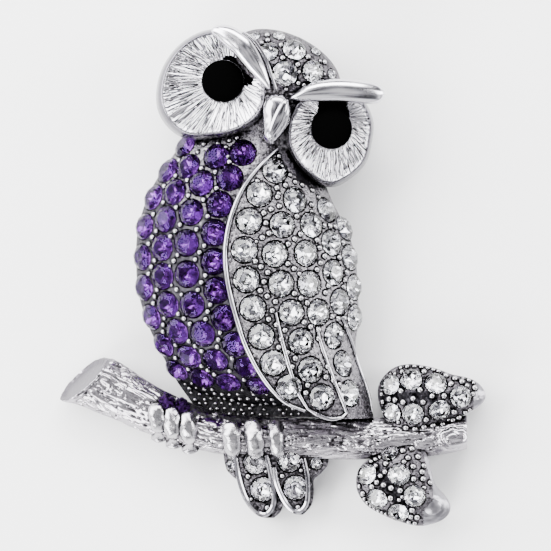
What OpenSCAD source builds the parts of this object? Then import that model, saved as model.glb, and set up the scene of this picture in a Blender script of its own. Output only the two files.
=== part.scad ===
// Owl brooch on a branch: a white metal casting set with cut stones.
// It lies on its back: +Z towards the viewer, +Y up the owl, +X to the viewer's right.

/* [Body] */
// Left edge of the breast, left of the brooch's middle
left_x = -13.0; // [-13.6:0.1:-12.4]
// Branch line under the body, below the brooch's middle
foot_y = -13.1; // [-13.8:0.1:-12.6]
// Widest span of breast and wing
body_w = 21.1; // [20.2:0.1:22.2]
// Height from the branch line up to the neck
body_h = 25.9; // [25:0.1:27]
// Crest of the body above the back
body_t = 8.3; // [7.8:0.1:9]
// Upright wall along the edge of the body
edge_h = 2.4; // [2.2:0.1:2.8]
// Radius of the turn under the belly
belly_r = 7.5; // [7:0.1:8.5]
// Step from the breast up to the wing
wing_rise = 0.45; // [0.35:0.05:0.6]
// Width of a polished ridge
ridge_w = 0.42; // [0.36:0.02:0.5]
// Height of a polished ridge above its ground
ridge_h = 0.3; // [0.25:0.05:0.4]

/* [Head] */
// Distance between the centres of the eye discs
eye_span = 12.35; // [12:0.05:12.8]
// Angle by which the head tips to the right
head_tilt = 25.4; // [22:0.2:28]
// Mean radius of the near eye disc
near_eye_r = 5.2; // [5:0.1:5.5]
// Mean radius of the far eye disc
far_eye_r = 4.2; // [4:0.1:4.5]
// Height of the eye discs' middle above the back
face_h = 7.3; // [7:0.1:7.8]
// Depth of the dished face of an eye disc
dish_h = 0.5; // [0.4:0.05:0.7]
// Radius of the near pupil
near_pupil_r = 1.95; // [1.8:0.05:2.1]
// Radius of the far pupil
far_pupil_r = 1.88; // [1.75:0.05:2]
// Height of a pupil's dome
pupil_h = 0.9; // [0.7:0.05:1.1]
// Greatest width of a brow
brow_w = 2.05; // [1.9:0.05:2.3]
// Height of the brows' backs above the back plane
brow_h = 9.3; // [9:0.1:9.8]
// Length of the beak
beak_l = 4.8; // [4.5:0.1:5.2]
// Width of the beak
beak_w = 2.6; // [2.4:0.1:2.9]
// Height of the beak above the back plane
beak_h = 10.2; // [9.8:0.1:10.6]
// Length of the crown, across the head
crown_l = 10.8; // [10.4:0.1:11.4]
// Width of the crown, along the head
crown_w = 6.1; // [5.9:0.1:6.5]
// Height of the crown above the back plane
crown_h = 8.8; // [8.5:0.1:9.2]

/* [Branch] */
// Length of the branch
branch_l = 38.3; // [37.6:0.1:39.4]
// Diameter of the branch at its middle
branch_d = 3.8; // [3.6:0.1:4.2]
// Height of the branch above the back plane
branch_h = 4.0; // [3.8:0.1:4.4]
// Width of a toe
toe_w = 1.6; // [1.4:0.05:1.7]

/* [Tail] */
// Width of the tail at the branch
tail_w = 10.1; // [9.8:0.1:10.8]
// Length of the tail below the branch
tail_l = 6.05; // [5.8:0.05:6.4]
// Thickness of the tail
tail_t = 3.2; // [3:0.1:3.6]

/* [Leaves] */
// Length of the upper leaf
upper_leaf_l = 10.2; // [10:0.1:10.8]
// Width of the upper leaf
upper_leaf_w = 6.5; // [6.3:0.1:7]
// Length of the lower leaf, across the brooch
lower_leaf_l = 8.9; // [8.7:0.1:9.5]
// Width of the lower leaf, down the brooch
lower_leaf_w = 7.8; // [7.6:0.1:8.4]
// Height of the leaves above the back plane
leaf_h = 4.8; // [4.6:0.1:5.2]

/* [Stones] */
// Diameter of a breast or wing stone
stone_d = 2.45; // [2.2:0.05:2.5]
// Diameter of the largest crown stone
crown_stone_d = 2.4; // [2.2:0.05:2.5]
// Diameter of a tail stone
tail_stone_d = 2.35; // [2.1:0.05:2.4]
// Diameter of a leaf stone
leaf_stone_d = 2.1; // [1.9:0.05:2.2]
// Least space between two stones in a row
stone_gap = 0.15; // [0.12:0.01:0.25]
// Space between a stone and its seat
seat_gap = 0.05; // [0.04:0.01:0.08]

/* [Back] */
// Depth of the recess in the back
recess_h = 2.6; // [2.4:0.1:2.8]
// Metal left round the recess
recess_wall = 2.5; // [2.2:0.1:3]
// Length of the pin's bar
bar_l = 15; // [14:0.5:16]
// Width of the pin's bar
bar_w = 2.8; // [2.4:0.1:3.2]
// Thickness of the pin's bar
bar_t = 0.6; // [0.5:0.05:0.7]
// Diameter of the pin's stem
pin_d = 0.9; // [0.8:0.05:1]
// Space between the pin and the recess
pin_gap = 0.1; // [0.06:0.02:0.16]

/* [Hidden] */

metal = [0.80, 0.80, 0.82];
violet = [0.42, 0.29, 0.70];
clear = [0.90, 0.92, 0.95];
enamel = [0.04, 0.04, 0.05];

// Facets of a stone and of its seat, and steps along a guide
stone_sides = 8;
guide_steps = 24;

// A stone's parts as shares of its diameter
table_share = 0.58;
crown_share = 0.16;
girdle_share = 0.05;
point_share = 0.36;
// Height of the girdle's top over the metal, the reach of the seat's cutter, the seat's extra
// depth in gaps, and how far other cutters run past a surface
proud = 0.06;
seat_reach = 0.5;
seat_drop = 1.6;
cut_past = 1;

// Least height of the ground under the belly, and how far the wing runs past the breast
ground_h = 1.2;
tuck = 0.4;

// Slope of the body's edges, as the sine of the angle there
turn_left = 0.87;
turn_right = 0.93;
// Height on the body where the belly starts to turn under, and the share of the turn that it uses
belly_v = 0.317;
belly_share = 0.97;
// Half section of the body where it is widest, as a share of its width
widest_share = 0.516;
// Steps of the surfaces of breast and wing: up, and across
breast_steps = [13, 10];
wing_steps = [15, 7];
// Height on the body where the breast ends under the head
breast_top = 1.05;

// Body sections: height; left edge, crest and right edge across; height of the crest
BODY = [
    [-0.01, 0.300, 0.805, 1.072, 0.75],
    [0.065, 0.234, 0.758, 1.053, 0.81],
    [0.137, 0.173, 0.701, 1.026, 0.87],
    [0.245, 0.102, 0.626, 0.991, 0.94],
    [0.353, 0.043, 0.578, 1.004, 0.98],
    [0.460, 0.008, 0.542, 1.000, 1.00],
    [0.568, 0.000, 0.516, 0.991, 1.00],
    [0.669, 0.006, 0.507, 0.956, 0.99],
    [0.773, 0.041, 0.498, 0.890, 0.95],
    [0.867, 0.098, 0.503, 0.846, 0.89],
    [0.964, 0.182, 0.512, 0.815, 0.80],
    [1.054, 0.274, 0.516, 0.789, 0.70]
];
// Front edge of the wing: height, place across
RIM = [
    [-0.003, 0.864], [0.014, 0.811], [0.025, 0.760], [0.056, 0.672], [0.115, 0.600],
    [0.187, 0.542], [0.273, 0.492], [0.371, 0.454], [0.471, 0.424], [0.568, 0.409],
    [0.665, 0.419], [0.755, 0.450], [0.836, 0.498], [0.910, 0.569], [0.964, 0.639]
];
// Heights of the wing's lowest rows, and of the span above them
WING_FOOT = [-0.003, 0.006, 0.014, 0.025];
wing_span = 0.935;
// The rim is this much wider than the feathers' ridges
rim_share = 1.1;
// Ridges between the feathers: points across and up
RIDGES = [
    [[0.631, 0.378], [0.655, 0.288], [0.689, 0.187], [0.728, 0.094], [0.770, 0.034]],
    [[0.810, 0.326], [0.839, 0.241], [0.884, 0.140], [0.925, 0.059], [0.942, 0.018]],
    [[0.921, 0.363], [0.964, 0.273], [0.998, 0.182], [1.038, 0.090], [1.056, 0.020]],
    [[0.776, 0.032], [0.811, 0.014], [0.864, -0.002], [0.916, 0.001], [0.940, 0.014]]
];

// Violet columns, outermost first: top and bottom of each, as heights on the body
BREAST_COLUMNS = [[0.978, 0.169], [0.902, 0.140], [0.938, 0.126], [0.950, 0.112]];
// Start of the first column inward from the edge, in stones, along the surface
first_column = 0.57;
// Spread of the columns, in spacings, and how strongly they draw together
column_spread = 1.06;
narrowing_power = 0.3;
// Distance of the first wing column from the rim, in stones
rim_column_share = 0.58;
// Top and bottom of the wing's column beside its rim
RIM_COLUMN = [0.886, 0.110];
// The wing's other columns: height, place across
WING_COLUMNS = [
    [[0.074, 0.835], [0.164, 0.788], [0.263, 0.747], [0.371, 0.703], [0.475, 0.657], [0.581, 0.628],
     [0.683, 0.655], [0.781, 0.716]],
    [[0.088, 0.958], [0.189, 0.930], [0.288, 0.894], [0.383, 0.818], [0.482, 0.779], [0.591, 0.765],
     [0.687, 0.785], [0.746, 0.855]],
    [[0.417, 0.914], [0.527, 0.883], [0.628, 0.877]],
    [[0.360, 0.980], [0.465, 0.977], [0.575, 0.958], [0.680, 0.935]]
];

// Outline of an eye disc or leaf: share of its radius, every 30 degrees from +X
NEAR_EYE = [1.02, 1.03, 1.07, 1.00, 0.93, 0.91, 0.96, 1.06, 1.07, 0.965, 1.00, 1.07];
FAR_EYE = [0.92, 1.08, 1.20, 1.11, 1.18, 1.07, 0.98, 0.90, 0.91, 1.00, 0.92, 0.91];
UPPER_LEAF = [1.01, 0.96, 0.79, 0.894, 1.09, 1.04, 0.955, 0.98, 1.15, 0.863, 0.75, 0.82];
LOWER_LEAF = [0.75, 0.74, 0.97, 1.06, 0.88, 0.96, 0.933, 0.86, 0.79, 0.864, 1.09, 1.20];
// Section of an eye disc: reach from the pupil (0) to the rim (1), height from the back (0)
// to the face (1), step above the face in dishes
DISC = [
    [0.86, 0, 0], [0.95, 0.45, 0], [1, 0.58, 0], [0.99, 0.72, 0], [0.90, 1, -0.3], [0.85, 1, 0],
    [0.78, 1, -0.2], [0.40, 1, -0.8], [0, 1, -1]
];
disc_angles = 20;
// Slope of each disc along the head, and place of its pupil in its radii
near_lean = 0.14;
far_lean = -0.26;
NEAR_PUPIL = [0.22, 0.06];
FAR_PUPIL = [0.02, 0.29];

// Middle of the head across and up the body
HEAD_AT = [0.608, 1.092];
// Brows: place along and up the head in eye spans, share of the brow's width, share of its height
NEAR_BROW = [
    [-0.663, 0.377, 0.34, 0.90], [-0.572, 0.399, 0.66, 0.94], [-0.469, 0.373, 0.92, 0.98],
    [-0.362, 0.324, 1.00, 1.00], [-0.248, 0.260, 0.78, 1.00], [-0.156, 0.205, 0.45, 0.98],
    [-0.090, 0.162, 0.14, 0.94]
];
FAR_BROW = [
    [0.086, 0.170, 0.16, 0.95], [0.161, 0.222, 0.60, 0.98], [0.236, 0.291, 0.85, 0.99],
    [0.327, 0.348, 0.97, 0.99], [0.429, 0.395, 1.04, 0.97], [0.522, 0.427, 0.97, 0.93],
    [0.614, 0.442, 0.87, 0.89], [0.679, 0.456, 0.62, 0.85], [0.708, 0.468, 0.32, 0.82]
];
// Depth that a brow reaches down into the head, beside its round back, whose height is a share
// of its half width
brow_depth = 0.8;
brow_round = 0.6;
// Beak: distance down from its root, place along the head, radius, height of its back
BEAK = [[0.14, 0.030, 0.28, 0.94], [0.42, 0.053, 0.48, 1.00], [0.70, 0.071, 0.34, 0.97],
    [0.94, 0.072, 0.10, 0.84]];
beak_sides = 10;
// Width of the beak's root below its back, as a share of the back's
root_share = 0.8;
// Root of the beak, middle of the crown and ends of the neck between them, in eye spans
BEAK_ROOT = 0.168;
CROWN_MIDDLE = [-0.040, 0.360];
NECK = [[-0.04, 0.34], [0.02, 0.16]];
// Top of the neck as a share of the crown's height, and its radius as a share of the beak's width
neck_top = 0.90;
neck_share = 0.62;
// Metal under the head: its corners in eye spans, its height as a share of the face's, and its
// radius as a share of the far eye's
CORE = [[-0.42, 0.02], [0.36, -0.02], [-0.04, 0.40]];
core_top = 0.82;
core_share = 0.62;
// Rings of the crown and of a leaf: reach, and height of the side as a share; -1 is on the top
CROWN_RINGS = [[0.90, 0], [1, 0.5], [1, -1], [0.90, -1], [0.68, -1], [0.36, -1]];
LEAF_RINGS = [[0.95, 0], [1, 0.3], [1, -1], [0.90, -1], [0.70, -1], [0.38, -1]];
crown_angles = 16;

// Stones by place and size, in spacings and diameters of the largest
CROWN_PLACES = [
    [0.06, -0.24, 1.00], [-0.01, 0.70, 0.95], [0.94, 0.28, 0.88], [-0.82, 0.24, 0.75],
    [0.72, 0.98, 0.42], [-0.72, 0.92, 0.48], [-1.52, 0.54, 0.40], [1.60, 0.50, 0.40]
];
UPPER_LEAF_PLACES = [
    [-1.66, 0.56, 0.92], [-0.80, 0.78, 1.00], [0.22, 0.62, 1.00], [1.25, 0.06, 1.00],
    [-1.62, -0.60, 0.92], [-0.74, -0.66, 1.00], [0.38, -0.50, 1.00]
];
LOWER_LEAF_PLACES = [
    [-0.46, 1.41, 0.86], [-1.42, 0.50, 0.95], [-0.08, 0.50, 1.00], [-0.98, -0.52, 0.95],
    [-0.10, -1.10, 0.95], [0.56, -0.40, 1.00]
];
// Tail stones: place across and down in spacings, size
TAIL_PLACES = [
    [-0.46, 1.32, 1.00], [0.76, 1.26, 1.00], [-0.74, 0.30, 0.96], [0.54, 0.24, 0.94],
    [-1.62, 0.42, 0.50], [1.54, 0.34, 0.50]
];

// Branch: place along; height above its line and width in diameters; turn of the section
BRANCH = [
    [0.045, 1.605, 1.51, 43], [0.113, 1.290, 1.36, 58], [0.174, 0.976, 1.22, 66], [0.247, 0.610, 1.10, 68],
    [0.344, 0.244, 1.03, 74], [0.453, 0.050, 1.00, 85], [0.586, 0.000, 1.00, 90], [0.732, 0.000, 1.00, 90],
    [0.853, 0.050, 0.97, 91], [0.938, 0.070, 0.89, 91], [0.994, 0.170, 0.83, 90]
];
// Slope of the cut end: how far its top leans out, as a share of the height
end_lean = 0.36;
// The branch's line above the body's foot, in diameters, and its left end
branch_drop = -0.54;
branch_x = -19.9;
branch_sides = 12;
// A ring just inside the cut end, and height of the section's middle as a share of the branch's
end_ring = 0.080;
branch_middle = 0.475;
// Least share of the round back that is left where a toe reaches over its side
back_floor = 0.05;
// Toes: place along the branch, share of the toe's width, start and end across the branch
TOES = [
    [0.239, 1.00, 0.24, -0.68], [0.274, 1.05, 0.30, -0.70], [0.314, 1.05, 0.34, -0.66],
    [0.421, 0.98, 0.32, -0.42], [0.475, 1.05, 0.40, -0.46], [0.529, 0.82, 0.42, -0.46]
];
toe_lift = 0.35;
// Tufts of the near leg: place along the branch, start and end across it
TUFTS = [[0.268, 0.50, 0.18], [0.305, 0.56, 0.24]];
// Drift of a toe along the branch as it goes across
finger_lean = -0.012;
// Along a toe: share of its length, share of its radius
FINGER = [[0, 0.45], [0.12, 0.85], [0.35, 1], [0.6, 0.9], [0.85, 1.05], [1, 0.55]];
// Share of a toe's radius that it sinks in, share of its width that its height is, a tuft's radius
// in toes, and its lift in those of a toe
finger_sink = 0.8;
finger_flat = 0.9;
tuft_share = 0.34;
tuft_lift = 1.6;

// Tail feathers: distance down, left edge and right edge across
LEFT_FEATHER = [
    [-0.108, -0.486, 0.010], [0.231, -0.450, 0.028], [0.354, -0.385, 0.041],
    [0.446, -0.318, 0.055], [0.700, -0.250, 0.075], [0.880, -0.180, 0.055], [0.985, -0.105, -0.010]
];
RIGHT_FEATHER = [
    [-0.108, -0.028, 0.514], [0.169, -0.018, 0.486], [0.292, -0.005, 0.427],
    [0.390, 0.008, 0.362], [0.615, 0.040, 0.358], [0.800, 0.110, 0.332], [0.935, 0.195, 0.260]
];
// Rims of the tail feathers: points across and down
TAIL_RIMS = [
    [[-0.370, 0.000], [-0.330, 0.400], [-0.255, 0.730], [-0.130, 0.930], [-0.035, 0.860],
     [-0.010, 0.600], [-0.080, 0.010]],
    [[0.262, 0.060], [0.300, 0.400], [0.290, 0.760], [0.210, 0.890], [0.110, 0.780],
     [0.020, 0.480], [-0.010, 0.200]]
];
// How far the tail's sides roll off, and how much it thins in each millimetre down
tail_turn = 0.8;
tail_thinning = 0.12;
// Middle of the tail, and its start above the branch's line, in diameters of the branch
tail_x = 0.25;
tail_start = 0.37;

// Middle of each leaf: share of the branch's length, share of its own width beyond the branch
UPPER_AT = [0.904, 0.30];
LOWER_AT = [0.832, 0.315];
// Smooth tip of the lower leaf: place of its dent in half lengths and half widths, radius
LEAF_DENT = [0.74, -0.56];
dent_r = 1.5;
dent_h = 0.22;
// Grooves in the leaves: ends in half lengths and half widths
UPPER_GROOVE = [[-0.84, 0.03], [0.02, 0.03]];
LOWER_GROOVE = [[-0.52, 0.40], [0.08, -0.43]];
groove_w = 0.7;

// Recess in the back: its lower and upper end as heights on the body
RECESS = [0.14, 0.86];
// Pin: floor below its stem, length of the block and of the catch, distances of stem and catch
// from the bar's lower end, and widths of block and catch as shares of the bar and the stem
pin_floor = 0.2;
block_l = 2;
catch_l = 1.2;
stem_start = 0.5;
catch_start = 1.2;
block_share = 0.7;
catch_share = 2;

pitch = stone_d + stone_gap;
head_middle = [left_x + HEAD_AT[0] * body_w, foot_y + HEAD_AT[1] * body_h];
branch_y = foot_y + branch_drop * branch_d;
tail_y = branch_y - tail_start * branch_d;
upper_leaf_c = [
    branch_x + UPPER_AT[0] * branch_l,
    branch_y + branch_d / 2 + UPPER_AT[1] * upper_leaf_w
];
lower_leaf_c = [
    branch_x + LOWER_AT[0] * branch_l,
    branch_y - branch_d / 2 - LOWER_AT[1] * lower_leaf_w
];

// Smooth curve through a table's column c, at v in its first column
function row_of(t, v, i = 0) = i >= len(t) - 2 || v < t[i + 1][0] ? i : row_of(t, v, i + 1);
function curve(t, c, v) =
    let (i = row_of(t, v), a = t[max(i - 1, 0)], b = t[i], d = t[i + 1], e = t[min(i + 2, len(t) - 1)])
    let (h = d[0] - b[0], f = (v - b[0]) / h)
    let (m = h * (d[c] - a[c]) / (d[0] - a[0]), n = h * (e[c] - b[c]) / (e[0] - b[0]))
    (1 + 2 * f) * pow(1 - f, 2) * b[c] + f * pow(1 - f, 2) * m
        + f * f * (3 - 2 * f) * d[c] + f * f * (f - 1) * n;

// Smooth closed curve through shares that stand every 30 degrees
function wrap(t, i) = t[(i + len(t)) % len(t)];
function around(t, angle) =
    let (step = 360 / len(t), p = (angle % 360 + 360) % 360 / step, i = floor(p), f = p - i)
    let (b = wrap(t, i), d = wrap(t, i + 1), m = (d - wrap(t, i - 1)) / 2, n = (wrap(t, i + 2) - b) / 2)
    (1 + 2 * f) * pow(1 - f, 2) * b + f * pow(1 - f, 2) * m
        + f * f * (3 - 2 * f) * d + f * f * (f - 1) * n;

function mean(p, i = 0, s = [0, 0, 0]) = i == len(p) ? s / len(p) : mean(p, i + 1, s + p[i]);
function unit(v) = v / norm(v);

// Round profile: 1 on the crest (s = 0), 0 at the edge (s = 1), where its slope has the sine k
function arc(s, k) = (sqrt(1 - pow(k * min(abs(s), 1), 2)) - sqrt(1 - k * k)) / (1 - sqrt(1 - k * k));

// The body's surface
function body_x(share) = left_x + body_w * share;
function body_y(v) = foot_y + body_h * v;
function body_v(y) = (y - foot_y) / body_h;
function body_z(x, v) =
    let (a = body_x(curve(BODY, 1, v)), c = body_x(curve(BODY, 2, v)), b = body_x(curve(BODY, 3, v)))
    let (round = x < c ? arc((c - x) / (c - a), turn_left) : arc((x - c) / (b - c), turn_right))
    edge_h + (body_t * curve(BODY, 4, v) - edge_h) * round;
function belly_fall(v) =
    let (d = max(belly_v - v, 0) * body_h)
    belly_r - sqrt(pow(belly_r, 2) - pow(min(d, belly_share * belly_r), 2));
breast_z = function(x, y) max(body_z(x, body_v(y)) - belly_fall(body_v(y)), ground_h);
wing_z = function(x, y) body_z(x, body_v(y)) + wing_rise;

// Direction that a surface faces
function facing(z, x, y, e = 0.08) = unit([z(x - e, y) - z(x + e, y), z(x, y - e) - z(x, y + e), 2 * e]);
// Place of a stone: point, direction and diameter
function site(z, x, y, d) = [[x, y, z(x, y)], facing(z, x, y), d];

// Stones at even steps along a guide x(v), as many as fit
function lengths(p, i = 0, sum = 0) =
    i == len(p) - 1 ? [sum] : concat([sum], lengths(p, i + 1, sum + norm(p[i + 1] - p[i])));
function column(z, x, top, bottom) =
    let (vs = [for (i = [0:guide_steps]) top + (bottom - top) * i / guide_steps])
    let (l = lengths([for (v = vs) [x(v), body_y(v), z(x(v), body_y(v))]]))
    let (n = floor(l[guide_steps] / pitch + 0.001), run = [for (i = [0:guide_steps]) [l[i], vs[i]]])
    [for (k = [0:n]) let (v = lookup(l[guide_steps] * k / n, run)) site(z, x(v), body_y(v), stone_d)];

// Distance of a breast column from the left edge, where the body is widest
edge_r = body_w * widest_share / turn_left;
function column_x(i) =
    let (angle = asin(turn_left) - (first_column + i) * pitch * column_spread / edge_r * 180 / PI)
    edge_r * (turn_left - sin(angle));
// The columns draw together where the body narrows
function narrowing(v) =
    pow((curve(BODY, 2, v) - curve(BODY, 1, v)) / widest_share, narrowing_power);
breast_sites = [
    for (i = [0:len(BREAST_COLUMNS) - 1])
        each column(breast_z, function(v) body_x(curve(BODY, 1, v)) + column_x(i) * narrowing(v),
            BREAST_COLUMNS[i][0], BREAST_COLUMNS[i][1])
];
rim_offset = ridge_w / 2 + stone_gap + stone_d * rim_column_share;
wing_sites = concat(
    column(wing_z, function(v) body_x(curve(RIM, 1, v)) + rim_offset, RIM_COLUMN[0], RIM_COLUMN[1]),
    [for (g = WING_COLUMNS)
        each column(wing_z, function(v) body_x(curve(g, 1, v)), g[len(g) - 1][0], g[0][0])]
);

// The head's own directions: along the eyes, and up to the crown
function head_at(a, b) = head_middle + eye_span * [
    a * cos(head_tilt) + b * sin(head_tilt), b * cos(head_tilt) - a * sin(head_tilt)
];
crown_c = head_at(CROWN_MIDDLE[0], CROWN_MIDDLE[1]);
crown_edge = 0.75;
crown_turn = 0.85;
// Place in the crown's ellipse as shares of its half length and half width
function crown_share(x, y) =
    let (p = [x, y] - crown_c)
    norm([(p[0] * cos(head_tilt) - p[1] * sin(head_tilt)) * 2 / crown_l,
        (p[0] * sin(head_tilt) + p[1] * cos(head_tilt)) * 2 / crown_w]);
crown_z = function(x, y) crown_h * (crown_edge + (1 - crown_edge) * arc(crown_share(x, y), crown_turn));
function crown_at(a, b) = crown_c + [
    a * cos(head_tilt) + b * sin(head_tilt), b * cos(head_tilt) - a * sin(head_tilt)
];
crown_sites = [
    for (p = CROWN_PLACES)
        let (c = crown_at(p[0] * (crown_stone_d + stone_gap), p[1] * (crown_stone_d + stone_gap)))
        site(crown_z, c[0], c[1], p[2] * crown_stone_d)
];

// Leaves: a centre, half length, half width and outline
leaf_edge = 0.68;
leaf_turn = 0.8;
function leaf_share(c, a, b, outline, x, y) =
    let (p = [(x - c[0]) / a, (y - c[1]) / b])
    norm(p) / around(outline, atan2(p[1], p[0]));
function leaf_z(c, a, b, outline) = function(x, y)
    leaf_h * (leaf_edge + (1 - leaf_edge) * arc(leaf_share(c, a, b, outline, x, y), leaf_turn));
upper_leaf_z = leaf_z(upper_leaf_c, upper_leaf_l / 2, upper_leaf_w / 2, UPPER_LEAF);
lower_leaf_z = leaf_z(lower_leaf_c, lower_leaf_l / 2, lower_leaf_w / 2, LOWER_LEAF);
function leaf_sites(c, z, places) = [
    for (p = places)
        let (q = c + (leaf_stone_d + stone_gap) * [p[0], p[1]])
        site(z, q[0], q[1], p[2] * leaf_stone_d)
];
upper_leaf_sites = leaf_sites(upper_leaf_c, upper_leaf_z, UPPER_LEAF_PLACES);
lower_leaf_sites = leaf_sites(lower_leaf_c, lower_leaf_z, LOWER_LEAF_PLACES);

// The tail's surface: it thins towards the tips and rolls off at its sides
tail_z = function(x, y)
    tail_t - tail_thinning * max(tail_y - y, 0) - tail_turn * pow(abs(x - tail_x) * 2 / tail_w, 3);
tail_sites = [
    for (p = TAIL_PLACES)
        let (s = tail_stone_d + stone_gap)
        site(tail_z, tail_x + p[0] * s, tail_y - p[1] * s, p[2] * tail_stone_d)
];

all_sites = concat(breast_sites, wing_sites, crown_sites, upper_leaf_sites, lower_leaf_sites, tail_sites);

// A solid through rings of points that run anticlockwise as seen from its end
module loft(rings, start, end) {
    n = len(rings[0]);
    m = len(rings);
    polyhedron(
        points = concat([for (r = rings) each r], [start, end]),
        faces = concat(
            [for (i = [0:m - 2]) for (j = [0:n - 1])
                let (k = (j + 1) % n)
                each [[i * n + j, i * n + n + j, i * n + n + k], [i * n + j, i * n + n + k, i * n + k]]],
            [for (j = [0:n - 1]) [n * m, j, (j + 1) % n]],
            [for (j = [0:n - 1]) [n * m + 1, n * m - n + (j + 1) % n, n * m - n + j]]
        )
    );
}

// A solid from the back plane up to a grid of points, rows upward and points rightward
module relief(rows) {
    n = len(rows);
    m = len(rows[0]);
    edge = concat(
        [for (j = [0:m - 1]) j],
        [for (i = [1:n - 1]) i * m + m - 1],
        [for (j = [m - 2:-1:0]) (n - 1) * m + j],
        [for (i = [n - 2:-1:1]) i * m]
    );
    e = len(edge);
    top = [for (r = rows) each r];
    polyhedron(
        points = concat(top, [for (k = edge) [top[k][0], top[k][1], 0]]),
        faces = concat(
            [for (i = [0:n - 2]) for (j = [0:m - 2])
                let (a = i * m + j)
                each [[a, a + m, a + m + 1], [a, a + m + 1, a + 1]]],
            [for (k = [0:e - 1])
                each [[n * m + k, edge[k], edge[(k + 1) % e]],
                    [n * m + k, edge[(k + 1) % e], n * m + (k + 1) % e]]],
            [[for (k = [0:e - 1]) n * m + k]]
        )
    );
}

// A bar of elliptical section along points, with a half width and half height at each
module bar_along(p, w, h, sides = 8) {
    last = len(p) - 1;
    rings = [
        for (i = [0:last])
            let (t = unit(p[min(i + 1, last)] - p[max(i - 1, 0)]), side = unit([-t[1], t[0], 0]))
            let (up = cross(t, side))
            [for (j = [0:sides - 1])
                let (angle = j * 360 / sides + 180 / sides)
                p[i] + w[i] * cos(angle) * side + h[i] * sin(angle) * up]
    ];
    loft([for (i = [0:last]) rings[i]], p[0], p[last]);
}

// A polished ridge on a surface z, along points in the plan
module ridge(z, points, w = ridge_w) {
    path = [for (p = points) [p[0], p[1], z(p[0], p[1])]];
    bar_along(path, [for (p = path) w / 2 * sqrt(2)], [for (p = path) ridge_h * sqrt(2)], 4);
}

// Turns the z axis to a site's direction, at its place
module at_site(s) {
    translate(s[0])
        rotate([0, acos(s[1][2]), atan2(s[1][1], s[1][0])])
            children();
}

function ring(r, z) = [
    for (j = [0:stone_sides - 1])
        let (angle = (j + 0.5) * 360 / stone_sides) [r * cos(angle), r * sin(angle), z]
];

// A cut stone: table, crown facets, girdle and a pointed back
module stone(d) {
    hull()
        loft(
            [ring(d / 2, proud - girdle_share * d), ring(d / 2, proud),
                ring(d / 2 * table_share, proud + crown_share * d)],
            [0, 0, proud - point_share * d],
            [0, 0, proud + crown_share * d]
        );
}

// What is cut away for a stone
module seat(d) {
    hull()
        loft(
            [ring(d / 2 + seat_gap, proud - girdle_share * d - seat_gap / 2),
                ring(d / 2 + seat_gap, seat_reach)],
            [0, 0, proud - point_share * d - seat_gap * seat_drop],
            [0, 0, seat_reach]
        );
}

module stones(sites) {
    for (s = sites)
        at_site(s)
            stone(s[2]);
}

module breast_form() {
    vs = [for (i = [0:breast_steps[0]]) i / breast_steps[0] * breast_top];
    relief([
        for (v = vs)
            let (a = body_x(curve(BODY, 1, v)), b = body_x(curve(BODY, 3, v)) - tuck, y = body_y(v))
            [for (j = [0:breast_steps[1]])
                let (x = a + (b - a) * (1 - cos(j * 180 / breast_steps[1])) / 2) [x, y, breast_z(x, y)]]
    ]);
}

module wing_form() {
    vs = concat(WING_FOOT, [for (i = [1:wing_steps[0]]) WING_FOOT[3] + i / wing_steps[0] * wing_span]);
    relief([
        for (v = vs)
            let (a = body_x(curve(RIM, 1, v)), b = body_x(curve(BODY, 3, v)), y = body_y(v))
            [for (j = [0:wing_steps[1]])
                let (x = a + (b - a) * sin(j * 90 / wing_steps[1])) [x, y, wing_z(x, y)]]
    ]);
}

module wing_ridges() {
    ridge(wing_z, [for (p = RIM) if (p[0] > WING_FOOT[2]) [body_x(p[1]), body_y(p[0])]],
        ridge_w * rim_share);
    for (r = RIDGES)
        ridge(wing_z, [for (p = r) [body_x(p[0]), body_y(p[1])]]);
}

// An eye disc, dished down to its pupil; lean is its slope along the head
module eye_disc(c, r, outline, pupil, pupil_r, lean) {
    rings = [
        for (d = DISC)
            [for (j = [0:disc_angles - 1])
                let (angle = j * 360 / disc_angles, u = [cos(angle), sin(angle)])
                let (inner = pupil + (pupil_r + ridge_w / 2) * u, outer = c + r * around(outline, angle) * u)
                let (p = (1 - d[0]) * inner + d[0] * outer)
                let (q = p - c, slope = lean * (q[0] * cos(head_tilt) - q[1] * sin(head_tilt)))
                [p[0], p[1], d[1] * (face_h + slope) + d[2] * dish_h]]
    ];
    loft(rings, mean(rings[0]), mean(rings[len(rings) - 1]));
}

near_eye_c = head_at(-0.5, 0);
far_eye_c = head_at(0.5, 0);
near_pupil_c = near_eye_c + near_eye_r * NEAR_PUPIL;
far_pupil_c = far_eye_c + far_eye_r * FAR_PUPIL;
// Height of the dished face under a pupil
function pupil_z(c, p, lean) =
    let (q = p - c)
    face_h - dish_h + lean * (q[0] * cos(head_tilt) - q[1] * sin(head_tilt));

module pupil_seat(p, r, z) {
    translate([p[0], p[1], z - seat_gap])
        cylinder(h = pupil_h + dish_h + cut_past, r = r + seat_gap, $fn = 24);
}

module pupil_dome(p, r, z) {
    round_r = (r * r + pupil_h * pupil_h / 4) / pupil_h;
    translate([p[0], p[1], z])
        rotate_extrude($fn = 48)
            intersection() {
                square([r, pupil_h]);
                translate([0, pupil_h - round_r])
                    circle(r = round_r, $fn = 96);
            }
}

module brow(rows) {
    widths = [for (b = rows) brow_w / 2 * b[2]];
    heights = [for (w = widths) w * brow_round + brow_depth];
    path = [
        for (i = [0:len(rows) - 1])
            let (p = head_at(rows[i][0], rows[i][1])) [p[0], p[1], brow_h * rows[i][3] - heights[i]]
    ];
    bar_along(path, widths, heights);
}

// A place on the beak's middle line, with the height of the round back's own middle
function beak_at(b) = concat(
    head_at(b[1], BEAK_ROOT - b[0] * beak_l / eye_span),
    beak_h * b[3] - b[2] * beak_w * cos(180 / beak_sides)
);

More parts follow.
